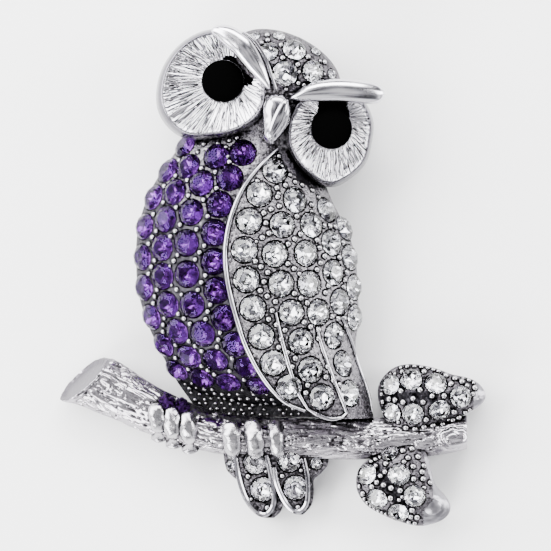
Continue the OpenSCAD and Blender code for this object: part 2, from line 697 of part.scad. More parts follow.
// The beak's round back, on a root that runs down to the neck
module beak() {
    hull()
        for (b = BEAK)
            translate(beak_at(b))
                sphere(r = b[2] * beak_w, $fn = beak_sides);
    hull()
        for (b = [BEAK[0], BEAK[1], BEAK[2]])
            let (p = beak_at(b))
            translate([p[0], p[1], edge_h])
                cylinder(h = p[2] - edge_h, r = b[2] * beak_w * root_share, $fn = 8);
}

module crown() {
    rings = [
        for (q = CROWN_RINGS)
            [for (j = [0:crown_angles - 1])
                let (angle = j * 360 / crown_angles)
                let (p = crown_at(q[0] * crown_l / 2 * cos(angle), q[0] * crown_w / 2 * sin(angle)))
                [p[0], p[1], q[1] < 0 ? crown_z(p[0], p[1]) : q[1] * crown_h]]
    ];
    loft(rings, [crown_c[0], crown_c[1], 0], [crown_c[0], crown_c[1], crown_h]);
    // Neck of metal from the crown to the beak's root
    hull()
        for (n = NECK)
            let (p = head_at(n[0], n[1]))
            translate([p[0], p[1], edge_h])
                cylinder(h = crown_h * neck_top - edge_h, r = beak_w * neck_share, $fn = 10);
}

// Metal under the head that joins the discs, the crown and the neck
module head_core() {
    hull()
        for (n = CORE)
            translate(head_at(n[0], n[1]))
                cylinder(h = face_h * core_top, r = far_eye_r * core_share, $fn = 12);
}

function branch_at(s) = [branch_x + branch_l * s, branch_y + branch_d * curve(BRANCH, 1, s)];
function branch_top(s, across) =
    let (span = max(1 - pow(2 * across / curve(BRANCH, 2, s), 2), back_floor))
    branch_h * (branch_middle + (1 - branch_middle) * sqrt(span));

module branch() {
    first = BRANCH[0][0];
    ss = concat([first, end_ring], [for (b = BRANCH) if (b[0] > first) b[0]]);
    rings = [
        for (s = ss)
            let (c = branch_at(s), w = branch_d / 2 * curve(BRANCH, 2, s), turn = curve(BRANCH, 3, s))
            [for (j = [0:branch_sides - 1])
                let (angle = j * 360 / branch_sides + 15)
                let (z = max(branch_h * (branch_middle + (1 - branch_middle) * sin(angle)), 0))
                let (lean = s == first ? end_lean * z : 0)
                [c[0] + w * cos(angle) * cos(turn) + lean * sin(turn),
                    c[1] + w * cos(angle) * sin(turn) - lean * cos(turn), z]]
    ];
    loft(rings, mean(rings[0]), mean(rings[len(rings) - 1]));
}

// A rounded bar that follows the branch's back, from one place across the branch to another
module finger(along, from, to, r, lift) {
    path = [
        for (k = FINGER)
            let (across = from + (to - from) * k[0], c = branch_at(along + finger_lean * across))
            [c[0], c[1] + branch_d * across, branch_top(along, across) + lift - r * finger_sink]
    ];
    bar_along(path, [for (k = FINGER) r * k[1]], [for (k = FINGER) r * k[1] * finger_flat], 8);
}

module toes() {
    for (t = TOES)
        finger(t[0], t[2], t[3], toe_w / 2 * t[1], toe_lift);
}

// Two short tufts where the near leg meets the branch
module leg_tufts() {
    for (t = TUFTS)
        finger(t[0], t[1], t[2], toe_w * tuft_share, toe_lift * tuft_lift);
}

module feather(rows) {
    relief([
        for (i = [len(rows) - 1:-1:0])
            let (r = rows[i], y = tail_y - tail_l * r[0])
            let (a = tail_x + tail_w * r[1], b = tail_x + tail_w * r[2])
            [for (j = [0:3]) let (x = a + (b - a) * j / 3) [x, y, tail_z(x, y)]]
    ]);
}

module tail() {
    feather(LEFT_FEATHER);
    feather(RIGHT_FEATHER);
    for (r = TAIL_RIMS)
        ridge(tail_z, [for (p = r) [tail_x + tail_w * p[0], tail_y - tail_l * p[1]]]);
}

module leaf(c, long, wide, outline, z, groove) {
    a = long / 2;
    b = wide / 2;
    rings = [
        for (q = LEAF_RINGS)
            [for (j = [0:disc_angles - 1])
                let (angle = j * 360 / disc_angles, r = q[0] * around(outline, angle))
                let (x = c[0] + a * r * cos(angle), y = c[1] + b * r * sin(angle))
                [x, y, q[1] < 0 ? z(x, y) : q[1] * leaf_h]]
    ];
    difference() {
        loft(rings, [c[0], c[1], 0], [c[0], c[1], leaf_h]);
        hull()
            for (g = groove)
                let (x = c[0] + a * g[0], y = c[1] + b * g[1])
                translate([x, y, z(x, y)])
                    sphere(r = groove_w / 2, $fn = 6);
    }
}

module lower_leaf_dent() {
    x = lower_leaf_c[0] + lower_leaf_l / 2 * LEAF_DENT[0];
    y = lower_leaf_c[1] + lower_leaf_w / 2 * LEAF_DENT[1];
    translate([x, y, lower_leaf_z(x, y) + dent_r - dent_h])
        sphere(r = dent_r, $fn = 12);
}

module back_recess() {
    vs = [for (i = [0:8]) RECESS[0] + i / 8 * (RECESS[1] - RECESS[0])];
    translate([0, 0, -cut_past])
        linear_extrude(recess_h + cut_past)
            polygon(concat(
                [for (v = vs) [body_x(curve(BODY, 3, v)) - recess_wall - wing_rise, body_y(v)]],
                [for (i = [8:-1:0]) [body_x(curve(BODY, 1, vs[i])) + recess_wall, body_y(vs[i])]]
            ));
}

module owl_casting() {
    color(metal)
        difference() {
            union() {
                breast_form();
                wing_form();
                wing_ridges();
                head_core();
                eye_disc(near_eye_c, near_eye_r, NEAR_EYE, near_pupil_c, near_pupil_r, near_lean);
                eye_disc(far_eye_c, far_eye_r, FAR_EYE, far_pupil_c, far_pupil_r, far_lean);
                crown();
                brow(NEAR_BROW);
                brow(FAR_BROW);
                beak();
                branch();
                toes();
                leg_tufts();
                tail();
                leaf(upper_leaf_c, upper_leaf_l, upper_leaf_w, UPPER_LEAF, upper_leaf_z, UPPER_GROOVE);
                leaf(lower_leaf_c, lower_leaf_l, lower_leaf_w, LOWER_LEAF, lower_leaf_z, LOWER_GROOVE);
            }
            for (s = all_sites)
                at_site(s)
                    seat(s[2]);
            pupil_seat(near_pupil_c, near_pupil_r, pupil_z(near_eye_c, near_pupil_c, near_lean));
            pupil_seat(far_pupil_c, far_pupil_r, pupil_z(far_eye_c, far_pupil_c, far_lean));
            lower_leaf_dent();
            back_recess();
        }
}

module pupil_left() {
    color(enamel)
        pupil_dome(near_pupil_c, near_pupil_r, pupil_z(near_eye_c, near_pupil_c, near_lean));
}

module pupil_right() {
    color(enamel)
        pupil_dome(far_pupil_c, far_pupil_r, pupil_z(far_eye_c, far_pupil_c, far_lean));
}

module breast_stones() {
    color(violet)
        stones(breast_sites);
}

module wing_stones() {
    color(clear)
        stones(wing_sites);
}

module crown_stones() {
    color(clear)
        stones(crown_sites);
}

module tail_stones() {
    color(clear)
        stones(tail_sites);
}

module upper_leaf_stones() {
    color(clear)
        stones(upper_leaf_sites);
}

module lower_leaf_stones() {
    color(clear)
        stones(lower_leaf_sites);
}

// Bar, pivot block, stem and catch, all inside the recess
module pin_back() {
    x = body_x(0.5);
    y = body_y(0.5) - bar_l / 2;
    stem_z = pin_floor + pin_d / 2;
    roof = recess_h - pin_gap;
    low = stem_z - pin_d / 2;
    block_w = bar_w * block_share;
    catch_w = pin_d * catch_share;
    color(metal) {
        translate([x - bar_w / 2, y, roof - bar_t])
            cube([bar_w, bar_l, bar_t]);
        translate([x - block_w / 2, y + bar_l - block_l, low])
            cube([block_w, block_l, roof - low]);
        translate([x, y + stem_start, stem_z])
            rotate([-90, 0, 0])
                cylinder(h = bar_l - stem_start - block_l / 2, d = pin_d, $fn = 32);
        translate([x - catch_w / 2, y + catch_start, low])
            cube([catch_w, catch_l, roof - low]);
    }
}

owl_casting();
pupil_left();
pupil_right();
breast_stones();
wing_stones();
crown_stones();
tail_stones();
upper_leaf_stones();
lower_leaf_stones();
pin_back();
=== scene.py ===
# %% [markdown]
# # An owl brooch on a branch
# The brooch is one casting of white metal, plated with rhodium, with cut stones glued into it.
# The solids of the CAD model give every place and size. Here each form of the casting is made again with a fine
# surface, because what makes such a brooch look real is small: the grains of metal that hold the stones, the
# brushed lines round the eyes, the bark, and the black in the hollows, which is partly left there when the
# plating is polished and partly painted shade.
# %% Load the frame
import math
import random

import bpy
import numpy as np
from mathutils import Matrix, Vector, geometry, noise


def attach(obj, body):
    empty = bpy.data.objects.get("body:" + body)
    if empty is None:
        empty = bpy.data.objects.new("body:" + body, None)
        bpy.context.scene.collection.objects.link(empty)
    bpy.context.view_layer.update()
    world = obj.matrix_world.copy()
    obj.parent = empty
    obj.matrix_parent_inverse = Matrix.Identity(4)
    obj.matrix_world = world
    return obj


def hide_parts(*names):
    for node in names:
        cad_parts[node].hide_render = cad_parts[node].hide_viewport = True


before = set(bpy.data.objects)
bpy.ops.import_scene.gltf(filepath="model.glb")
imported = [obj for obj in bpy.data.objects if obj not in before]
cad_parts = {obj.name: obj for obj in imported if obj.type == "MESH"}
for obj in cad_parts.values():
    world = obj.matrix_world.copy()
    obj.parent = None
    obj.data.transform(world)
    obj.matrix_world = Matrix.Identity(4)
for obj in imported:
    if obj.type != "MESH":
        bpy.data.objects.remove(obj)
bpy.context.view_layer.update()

# %% [markdown]
# ## Working in millimetres
# The frame is in metres, and this object is 46 mm high, so each piece is shaped in millimetres
# and is made a thousand times smaller when it is done. The photograph shows 0.093 mm in a
# pixel, so a place that was measured there is written as column and row.
# %% Sizes and places
MM = 0.001
PHOTO, PIXEL = 551, 0.093
ORIGIN = (272.4, 276.8)
rng = random.Random(7)


def spot(column, row):
    """Place in the plan, in mm, of a point measured in the photograph."""
    return (column - ORIGIN[0]) * PIXEL, (ORIGIN[1] - row) * PIXEL


def pixel(x, y):
    """Column and row of a place in the plan."""
    return x / PIXEL + ORIGIN[0], ORIGIN[1] - y / PIXEL


def at_column(column):
    return spot(column, 0)[0]


def at_row(row):
    return spot(0, row)[1]


print("the photograph shows", round(PHOTO * PIXEL, 1), "mm")

# %% [markdown]
# ## Camera and light
# The photograph was taken from straight in front with a long lens. The brooch lies on its back,
# so the camera looks straight down. A polished metal shows what stands round it, and under an
# even sky it looks dull. So the sky is a room of soft patches from near black to white, drawn
# with noise and stronger low down, and four soft boxes stand in it: they give the white faces
# and the black lines that polished metal has in a studio.
# %% Camera and lamps
SENSOR, CAMERA_HEIGHT, BROOCH_MIDDLE = 36, 0.62, 5
camera_data = bpy.data.cameras.new("camera")
camera = bpy.data.objects.new("camera", camera_data)
bpy.context.scene.collection.objects.link(camera)
bpy.context.scene.camera = camera
camera_data.sensor_width = SENSOR
camera_data.lens = SENSOR * CAMERA_HEIGHT / (PHOTO * PIXEL * MM)
camera_data.clip_start = 0.05
middle = spot(PHOTO / 2, PHOTO / 2)
camera.location = (middle[0] * MM, middle[1] * MM, CAMERA_HEIGHT + BROOCH_MIDDLE * MM)


def soft_box(name, place, width, height, power):
    """A rectangular lamp that faces the brooch, in metres and watts."""
    data = bpy.data.lights.new(name, "AREA")
    data.shape, data.size, data.size_y, data.energy = "RECTANGLE", width, height, power
    lamp = bpy.data.objects.new(name, data)
    bpy.context.scene.collection.objects.link(lamp)
    lamp.location = place
    lamp.rotation_euler = Vector(place).to_track_quat("Z", "Y").to_euler()


soft_box("left_box", (-0.30, 0.14, 0.22), 0.34, 0.36, 6.2)
soft_box("right_box", (0.32, 0.06, 0.16), 0.14, 0.30, 1.8)
soft_box("top_box", (0.02, 0.32, 0.24), 0.42, 0.16, 3.8)
soft_box("low_box", (-0.22, -0.27, 0.20), 0.30, 0.16, 3.2)
print("lens", round(camera_data.lens), "mm,", len(bpy.data.lights), "lamps")

# %% [markdown]
# A sky and a material are made of nodes. One small function adds a node with its settings, sets
# its inputs and gives the output that the next node reads, so a chain of nodes reads like a
# recipe.
# %% Nodes, and the sky made with them
def linear(colour):
    """A hex colour such as "c8c8cc", as the linear numbers that the shader takes."""
    parts = [int(colour[i:i + 2], 16) / 255 for i in (0, 2, 4)]
    return (*[p / 12.92 if p <= 0.04045 else ((p + 0.055) / 1.055) ** 2.4 for p in parts], 1)


def plug(tree, to, inputs):
    """Sets a node's inputs, each to a value or to another node's output."""
    for key, value in inputs.items():
        if isinstance(value, bpy.types.NodeSocket):
            tree.links.new(value, to.inputs[key])
        else:
            to.inputs[key].default_value = value


def node(tree, kind, out, inputs=None, stops=(), **settings):
    """Adds a node and gives its output named out. stops are a ramp's places and hex colours."""
    made = tree.nodes.new(kind)
    for key, value in settings.items():
        setattr(made, key, value)
    for i, (place, colour) in enumerate(stops):
        stop = made.color_ramp.elements[i] if i < 2 else made.color_ramp.elements.new(place)
        stop.position, stop.color = place, linear(colour)
    plug(tree, made, inputs or {})
    return made.outputs[out] if out else made


world = bpy.data.worlds.new("studio")
bpy.context.scene.world = world
world.use_nodes = True
sky = world.node_tree
sky.nodes.clear()
way = node(sky, "ShaderNodeTexCoord", "Generated")
room = node(sky, "ShaderNodeTexNoise", "Fac", {"Vector": way, "Scale": 2.4, "Detail": 1.0})
glow = node(sky, "ShaderNodeValToRGB", "Color", {"Fac": room},
            [(0.40, "040405"), (0.47, "606066"), (0.53, "b4b4ba"), (0.60, "ffffff")])
height = node(sky, "ShaderNodeSeparateXYZ", "Z", {0: way})
power = node(sky, "ShaderNodeMapRange", "Result", {"Value": height, "To Min": 2.8, "To Max": 1.3})
light = node(sky, "ShaderNodeBackground", "Background", {"Color": glow, "Strength": power})
node(sky, "ShaderNodeOutputWorld", None, {"Surface": light})
print("sky of", len(sky.nodes), "nodes")

# %% [markdown]
# ## Metals
# The casting is one metal with several finishes. Rhodium plate is a bright, slightly cool white metal. Where a
# mop polished it, it is a mirror. Where stones are set it keeps the black that was rubbed into it. How deep a
# point lies is read by the ambient occlusion node: it looks round each point for a fraction of a millimetre and
# darkens the colour of what is enclosed. So the dark in the hollows is partly that black and partly painted
# shade, the shade of the hollow laid into the colour. A noise drifts the roughness, gives the cast texture its
# height, and leaves black where the polish missed.
# %% Metal finishes
def new_material(name, inputs=None):
    """A material with some inputs of its shader set. Gives it with its tree and shader."""
    material = bpy.data.materials.new(name)
    material.use_nodes = True
    tree = material.node_tree
    shader = tree.nodes["Principled BSDF"]
    plug(tree, shader, inputs or {})
    return material, tree, shader


def rhodium(name, bright, dark, rough, reach, fade, grain=0.25, depth=0.0, stain=0.0, metallic=1.0):
    """Rhodium plate. bright and dark are its colours in the open and in a hollow, the dark being partly black
    rubbed in and partly painted shade; reach is how far in mm a hollow is felt, fade is the ramp's ends, grain
    and depth are a cast texture's width and height in mm, and stain is how much of the dark the texture itself
    keeps."""
    material, tree, shader = new_material(name, {"Metallic": metallic})
    place = node(tree, "ShaderNodeTexCoord", "Object")
    cloud = node(tree, "ShaderNodeTexNoise", "Fac",
                 {"Vector": place, "Scale": 1 / (grain * MM), "Detail": 3.0, "Roughness": 0.6})
    # Ambient occlusion darkens the colour in hollows: partly the black rubbed in, partly painted shade
    hollow = node(tree, "ShaderNodeAmbientOcclusion", "AO", {"Distance": reach * MM}, samples=8)
    kept = node(tree, "ShaderNodeMapRange", "Result",
                {"Value": cloud, "To Min": -stain / 2, "To Max": stain / 2})
    seen = node(tree, "ShaderNodeMath", "Value", {0: hollow, 1: kept}, operation="ADD")
    shade = node(tree, "ShaderNodeValToRGB", "Color", {"Fac": seen}, [(fade[0], dark), (fade[1], bright)])
    tone = node(tree, "ShaderNodeMapRange", "Result",
                {"Value": cloud, "To Min": rough * 0.7, "To Max": rough * 1.35})
    plug(tree, shader, {"Base Color": shade, "Roughness": tone})
    if depth:
        bump = node(tree, "ShaderNodeBump", "Normal",
                    {"Height": cloud, "Distance": depth * MM, "Strength": 1.0})
        plug(tree, shader, {"Normal": bump})
    return material

# %% [markdown]
# The finishes below are named for how each was worked, and some for the painted shade that they carry. The
# colours were matched to the photograph, and the first number is the roughness: from a mop's mirror to a sawn
# face.
# %% The finishes
# Polished with a mop: a mirror, for the rims and the beak
polished = rhodium("polished_rhodium", "adabb1", "0c0c0e", 0.14, 0.35, (0.15, 0.70))
# Brushed lightly after polishing: the brows' softer, whiter sheen
satin = rhodium("satin_rhodium", "d4d2d8", "080809", 0.18, 0.35, (0.10, 0.50))
# A darker grey for the steep faces, the sides and the back: painted shade on the walls
side = rhodium("painted_shade_side_rhodium", "6a686e", "08080a", 0.26, 0.50, (0.10, 0.70))
# Rubbed with black and wiped: the mottled ground between stones. The real mottling and grain are
# finer than a pixel, so here and in the other dark finishes they are drawn 0.26 to 0.30 mm wide,
# coarser than real, to show at all
antiqued = rhodium("antiqued_rhodium", "827f84", "010102", 0.26, 0.70, (0.52, 1.0), 0.28, 0.12, 2.0)
# The same, wiped less: darker between the stones of crown, tail and leaves
deep = rhodium("deep_antiqued_rhodium", "5c595e", "010102", 0.26, 0.70, (0.56, 1.0), 0.28, 0.12, 2.2)
# Darkest grey, a painted shade: in the leaves' veins, on the wing's corner under the head, and on the low
# breast where it darkens towards the belly
darkest_shade = rhodium("darkest_shade_rhodium", "3c3a3f", "010102", 0.30, 0.50, (0.50, 1.0), 0.26, 0.12, 1.6)
# Plated as cast: the leaves' smooth, slightly dull tips
plain = rhodium("plain_rhodium", "8e8c92", "080809", 0.32, 0.50, (0.10, 0.70), 0.35, 0.01)
# Rubbed bright by wear: grains and toes shine on top; round their feet they turn dark, partly from black kept
# there and partly from painted shade
worn = rhodium("worn_rhodium", "aeacb0", "020203", 0.20, 0.30, (0.58, 0.98), 0.14, 0.02)
# Scratched with a wire brush: the eye discs glitter, and each scratch is dark, partly from black kept in it and
# partly from painted shade
brushed = rhodium("brushed_rhodium", "cac8ce", "050506", 0.22, 0.20, (0.46, 0.92), 0.12, 0.012)
# Cast bark, wiped: bright ridges over black cracks, the black partly kept in them and partly painted shade
bark_metal = rhodium("bark_rhodium", "aca8ae", "020203", 0.24, 0.35, (0.45, 0.97), 0.30, 0.02, 0.2)
# The branch's sawn end: flat, grey and a little grainy
sawn = rhodium("sawn_rhodium", "68656b", "040406", 0.34, 0.50, (0.30, 0.95), 0.35, 0.03, 0.2)
# Near black and less metallic, so it shines less than bare metal: a painted shadow on the ground below the
# belly, which turns under, and on the bark below the bird
painted_shadow_black = rhodium("painted_shadow_rhodium", "1c1a1f", "010101", 0.30, 0.5, (0.45, 1.0),
                       0.28, 0.16, 1.4, metallic=0.6)
print(len(bpy.data.materials), "materials")

# %% [markdown]
# ## Enamel, stones and floor
# The pupils are black enamel. The stones are lead glass with a mirror behind: the glass has an
# index of about 1.58, and the foil on the pointed back throws the light out again through the
# facets, so it is made of metal here and the crown of clear glass.
# %% Enamel, stones and floor
# Enamel filled in by hand: a deep black with no sheen, as the photograph shows it
# The same black is laid under the brows as their painted shadow
enamel = new_material("black_enamel", {
    "Base Color": linear("020202"), "Roughness": 0.5, "IOR": 1.5, "Specular IOR Level": 0.0})[0]


def cut_glass(name, colour, glint):
    """Glass of a colour; glint tints what its surface mirrors, as a coating does."""
    return new_material(name, {"Specular Tint": linear(glint), "Base Color": linear(colour),
                               "Transmission Weight": 1, "Roughness": 0.0, "IOR": 1.58})[0]


def clouded(name, width, stops, inputs):
    """A metal whose colour drifts between two stops, in clouds of a width in mm."""
    material, tree, shader = new_material(name, inputs)
    place = node(tree, "ShaderNodeTexCoord", "Object")
    cloud = node(tree, "ShaderNodeTexNoise", "Fac",
                 {"Vector": place, "Scale": 1 / (width * MM), "Detail": 2.0})
    plug(tree, shader, {"Base Color": node(tree, "ShaderNodeValToRGB", "Color", {"Fac": cloud}, stops)})
    return material


# Lead glass, ground and polished: sharp white sparks on grey facets
clear_glass = cut_glass("clear_cut_glass", "ffffff", "ffffff")
# The same, coloured in the melt and coated: violet all through, with violet sparks
violet_glass = cut_glass("violet_cut_glass", "c89ee6", "5c3c90")
# Foil painted on the stones' backs, a little uneven: the mirror that makes them bright
silver_foil = clouded("silver_foil", 0.9, [(0.35, "98989e"), (0.65, "f4f4f6")],
                      {"Metallic": 1.0, "Specular IOR Level": 0, "Roughness": 0.04})
# The same, tinted: it throws back violet, so that those stones stay deep in colour
violet_foil = clouded("violet_foil", 0.9, [(0.35, "2c1a36"), (0.65, "724a88")],
                      {"Metallic": 0.85, "Specular IOR Level": 0, "Roughness": 0.06})
# Drawn steel wire and strip: an even satin grey
steel = clouded("satin_steel", 0.3, [(0.3, "9c9ca0"), (0.7, "bcbcc0")], {"Metallic": 1, "Roughness": 0.3})
# Matt paper: a pale floor with a soft shadow and no glare
floor_paper = new_material("white_paper", {"Base Color": linear("fafafa"), "Roughness": 0.9})[0]
bpy.ops.mesh.primitive_plane_add(size=3, location=(0, 0, -0.00002))
floor = bpy.context.object
floor.name = "floor"
floor.data.materials.append(floor_paper)
print(len(bpy.data.materials), "materials with stones, steel and floor")

# %% [markdown]
# ## Tools for shaping
# Most forms of the casting are sheets: a flat grid is added, and each of its points is moved to
# its place on the form. A sheet's edge is then drawn down to the back and closed. That is how a
# low relief is built by hand, and it keeps the surface smooth and even.
# %% Helpers for sheets
def deselect():
    bpy.ops.object.select_all(action="DESELECT")


def only(obj):
    deselect()
    obj.select_set(True)
    bpy.context.view_layer.objects.active = obj


def edit(obj):
    """Opens a form in edit mode, all of it selected."""
    only(obj)
    bpy.ops.object.mode_set(mode="EDIT")
    bpy.ops.mesh.select_all(action="SELECT")


def done(obj, name=None):
    """Turns every face outwards and leaves edit mode."""
    bpy.ops.mesh.select_all(action="SELECT")
    bpy.ops.mesh.normals_make_consistent(inside=False)
    bpy.ops.object.mode_set(mode="OBJECT")
    obj.name = name or obj.name
    return obj


WELD = 0.0005


def close(obj, back=None, hole=False):
    """Merges seams and poles. An open edge is drawn down to the height back, or a hole is filled."""
    edit(obj)
    bpy.ops.mesh.remove_doubles(threshold=WELD)
    bpy.ops.mesh.select_all(action="DESELECT")
    bpy.ops.mesh.select_non_manifold(extend=False)
    if back is not None:
        bpy.ops.mesh.extrude_region_move()
        bpy.ops.transform.resize(value=(1, 1, 0), center_override=(0, 0, back))
        bpy.ops.mesh.edge_face_add()
    if hole:
        bpy.ops.mesh.fill_holes(sides=0)
    return done(obj)


def sheet(name, across, along, shape, back=None, hole=False):
    """A closed form from a grid whose points (u, v), each from 0 to 1, go to shape(u, v) = x, y, z in mm."""
    deselect()
    bpy.ops.mesh.primitive_grid_add(x_subdivisions=across, y_subdivisions=along, size=2)
    obj = bpy.context.object
    obj.name = name
    flat = np.empty(len(obj.data.vertices) * 3)
    obj.data.vertices.foreach_get("co", flat)
    flat = flat.reshape(-1, 3)
    u, v = np.round((flat[:, 0] + 1) / 2, 7), np.round((flat[:, 1] + 1) / 2, 7)
    placed = np.stack([np.broadcast_to(a, u.shape) for a in shape(u, v)], 1)
    obj.data.vertices.foreach_set("co", placed.astype(np.float32).ravel())
    return close(obj, back, hole)

# %% [markdown]
# Finished forms are joined, cut out of each other, and brought into the frame. A piece that stands for a CAD
# node hides it, rides on the CAD model's body and takes a finish from its list.
# %% Helpers for whole forms
def join(name, objects):
    deselect()
    for obj in objects:
        obj.select_set(True)
    bpy.context.view_layer.objects.active = objects[0]
    if len(objects) > 1:
        bpy.ops.object.join()
    objects[0].name = name
    return objects[0]


def combine(obj, other, operation="DIFFERENCE"):
    """Boolean of two closed forms; the other one is used up."""
    only(obj)
    cut = obj.modifiers.new("combine", "BOOLEAN")
    cut.operation, cut.object, cut.solver = operation, other, "MANIFOLD"
    bpy.ops.object.modifier_apply(modifier=cut.name)
    bpy.data.objects.remove(other)
    return obj


STEEP = 0.3


def on_side(face, height):
    """Whether a face stands steeply, or looks down, and lies lower than a height in mm."""
    return face.normal.z < STEEP and face.center.z < height * MM


def settle(obj, name, materials, choose=None, smooth=35, nodes=("owl_casting",)):
    """Brings a finished form, or a list of forms, to metres and into the frame. choose gives the number
    of each face's material, after the materials, because their change sets every number to 0."""
    obj = join(name, obj if isinstance(obj, list) else [obj])
    bpy.ops.object.transform_apply(location=True, rotation=True, scale=True)
    obj.data.transform(Matrix.Scale(MM, 4))
    if smooth:
        bpy.ops.object.shade_smooth_by_angle(angle=math.radians(smooth))
    obj.name = obj.data.name = name
    obj.data.materials.clear()
    for material in materials:
        obj.data.materials.append(material)
    for face in obj.data.polygons if choose else ():
        face.material_index = choose(face)
    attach(obj, "root")
    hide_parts(*nodes)
    print(name, len(obj.data.vertices), "points")
    return obj

# %% [markdown]
# An outline or a section is written as a short table, and a smooth curve runs through it. Noise
# gives what no table can: bark, scratches and the skin of the metal.
# %% Helpers for curves and noise
def curve(table, column, v):
    """Smooth curve through a table's column, at v in its first column."""
    rows = np.asarray(table, float)
    keys, values = rows[:, 0], rows[:, column]
    i = np.clip(np.searchsorted(keys, v, side="right") - 1, 0, len(keys) - 2)
    before, after, beyond = np.maximum(i - 1, 0), i + 1, np.minimum(i + 2, len(keys) - 1)
    step = keys[after] - keys[i]
    f = (v - keys[i]) / step
    m = step * (values[after] - values[before]) / (keys[after] - keys[before])
    n = step * (values[beyond] - values[i]) / (keys[beyond] - keys[i])
    return ((1 + 2 * f) * (1 - f) ** 2 * values[i] + f * (1 - f) ** 2 * m
            + f * f * (3 - 2 * f) * values[after] + f * f * (f - 1) * n)


def numbered(rows):
    """The rows with their number from 0 to 1 in front, to run a curve through them."""
    return [[i / (len(rows) - 1), *row] for i, row in enumerate(rows)]


def around(outline, turn):
    """Smooth closed curve through shares that stand at even steps of a turn."""
    count = len(outline)
    table = [[i / count, outline[i % count]] for i in range(-2, count + 3)]
    return curve(table, 1, np.mod(turn, 1.0))


def dome(s, k):
    """Round profile: 1 at s = 0 and 0 at s = 1, where its slope has the sine k."""
    flat = math.sqrt(1 - k * k)
    return (np.sqrt(1 - (k * np.minimum(np.abs(s), 1)) ** 2) - flat) / (1 - flat)


def circle(u):
    """Cosine and sine of u turns."""
    return np.cos(u * math.tau), np.sin(u * math.tau)


def smooth_step(x, low, high):
    t = np.clip((x - low) / (high - low), 0, 1)
    return t * t * (3 - 2 * t)


def fleck(x, y, z):
    """Even noise from -1 to 1 at a point."""
    return noise.noise(Vector((x, y, z)))


def speckle(x, y, z):
    """The same at each of many points."""
    return np.array([fleck(*p) for p in zip(np.ravel(x), np.ravel(y), np.ravel(z))])


def on_surface(surface, x, y):
    """The point of a surface above a place in the plan."""
    return Vector((x, y, float(surface(x, y))))


print("half way up a dome with a slope of 0.9:", round(float(dome(0.5, 0.9)), 2))

# %% [markdown]
# ## Stones
# Each stone of the CAD model is a simple one with eight sides. Its place, direction and size are
# read from its corners, and a real cut goes there: a table, eight star facets, eight kites, a
# girdle of sixteen sides and a pointed back. It is modelled once, as rings of points that a
# convex hull joins: flat facets between sharp edges, as a grinding wheel leaves them.
# %% Read the places of the stones
TABLE_RISE = 0.16


def stone_places(node_name):
    """Centre of the girdle, direction and diameter, in mm, of each loose stone of a node."""
    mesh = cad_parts[node_name].data
    points = np.array([v.co for v in mesh.vertices]) / MM
    keys = {}
    weld = [keys.setdefault(tuple(np.round(p, 3)), len(keys)) for p in points]
    group = list(range(len(keys)))

    def root(i):
        while group[i] != i:
            i = group[i]
        return i

    for face in mesh.polygons:
        first = root(weld[face.vertices[0]])
        for other in face.vertices[1:]:
            group[root(weld[other])] = first
    unique = np.array(list(keys))
    members = {}
    for i in range(len(keys)):
        members.setdefault(root(i), []).append(i)
    found = []
    for ids in members.values():
        middle = unique[ids].mean(0)
        p = unique[ids] - middle
        axis = np.linalg.svd(p)[2][2]
        depth = p @ axis
        if abs(depth.min()) < depth.max():
            axis = -axis
        girdle = np.sort(np.linalg.norm(np.cross(p, axis), axis=1))[-8:].mean()
        centre = middle + axis * ((p @ axis).max() - TABLE_RISE * 2 * girdle)
        found.append((Vector(centre), Vector(axis), 2 * girdle))
    return found


def facing(point, axis):
    """Matrix that puts a form at a point and turns its Z to an axis."""
    return Matrix.Translation(point) @ axis.to_track_quat("Z", "Y").to_matrix().to_4x4()


def standing(place, size):
    """Matrix that puts a form of size 1 at a stone's place, with a turn of its own."""
    turn = Matrix.Rotation(rng.uniform(0, math.tau), 4, "Z")
    return facing(place[0], place[1]) @ turn @ Matrix.Scale(size, 4)


STONE_NODES = ["breast_stones", "wing_stones", "crown_stones", "tail_stones",
               "upper_leaf_stones", "lower_leaf_stones"]
places = {name: stone_places(name) for name in STONE_NODES}
print("stones", {name: len(found) for name, found in places.items()})

# %% [markdown]
# The rings below are shares of the diameter: the girdle's two edges, the ring where star facets
# and kites meet, the table, and the ring on the back. The point of the back is a ring too, so
# small that its corners merge.
# %% Cut one stone and one seat
def hull_of_rings(name, rings):
    """A convex form through rings (corners, radius, height, turn in steps)."""
    deselect()
    bpy.ops.mesh.primitive_circle_add(vertices=rings[0][0], radius=rings[0][1], location=(0, 0, 0))
    obj = bpy.context.object
    edit(obj)
    bpy.ops.transform.translate(value=(0, 0, rings[0][2]))
    for corners, radius, height, step in rings[1:]:
        bpy.ops.mesh.primitive_circle_add(vertices=corners, radius=radius, location=(0, 0, height),
                                          rotation=(0, 0, step * math.tau / corners))
    bpy.ops.mesh.select_all(action="SELECT")
    bpy.ops.mesh.remove_doubles(threshold=WELD)
    bpy.ops.mesh.convex_hull()
    return done(obj, name)


CUT = [(16, 0.500, 0.0, 0), (16, 0.500, -0.045, 0), (8, 0.405, 0.098, 0.5), (8, 0.270, TABLE_RISE, 0),
       (8, 0.260, -0.205, 0.5), (8, 0.0001, -0.355, 0)]
cut_stone = hull_of_rings("cut_stone", CUT)
foiled = [1 if face.normal.z < -0.2 else 0 for face in cut_stone.data.polygons]
seat_form = hull_of_rings("seat", [(24, 0.5, 0.35, 0), (24, 0.5, -0.06, 0), (24, 0.12, -0.36, 0)])
print("a stone has", len(foiled), "facets,", sum(foiled), "of them foiled")

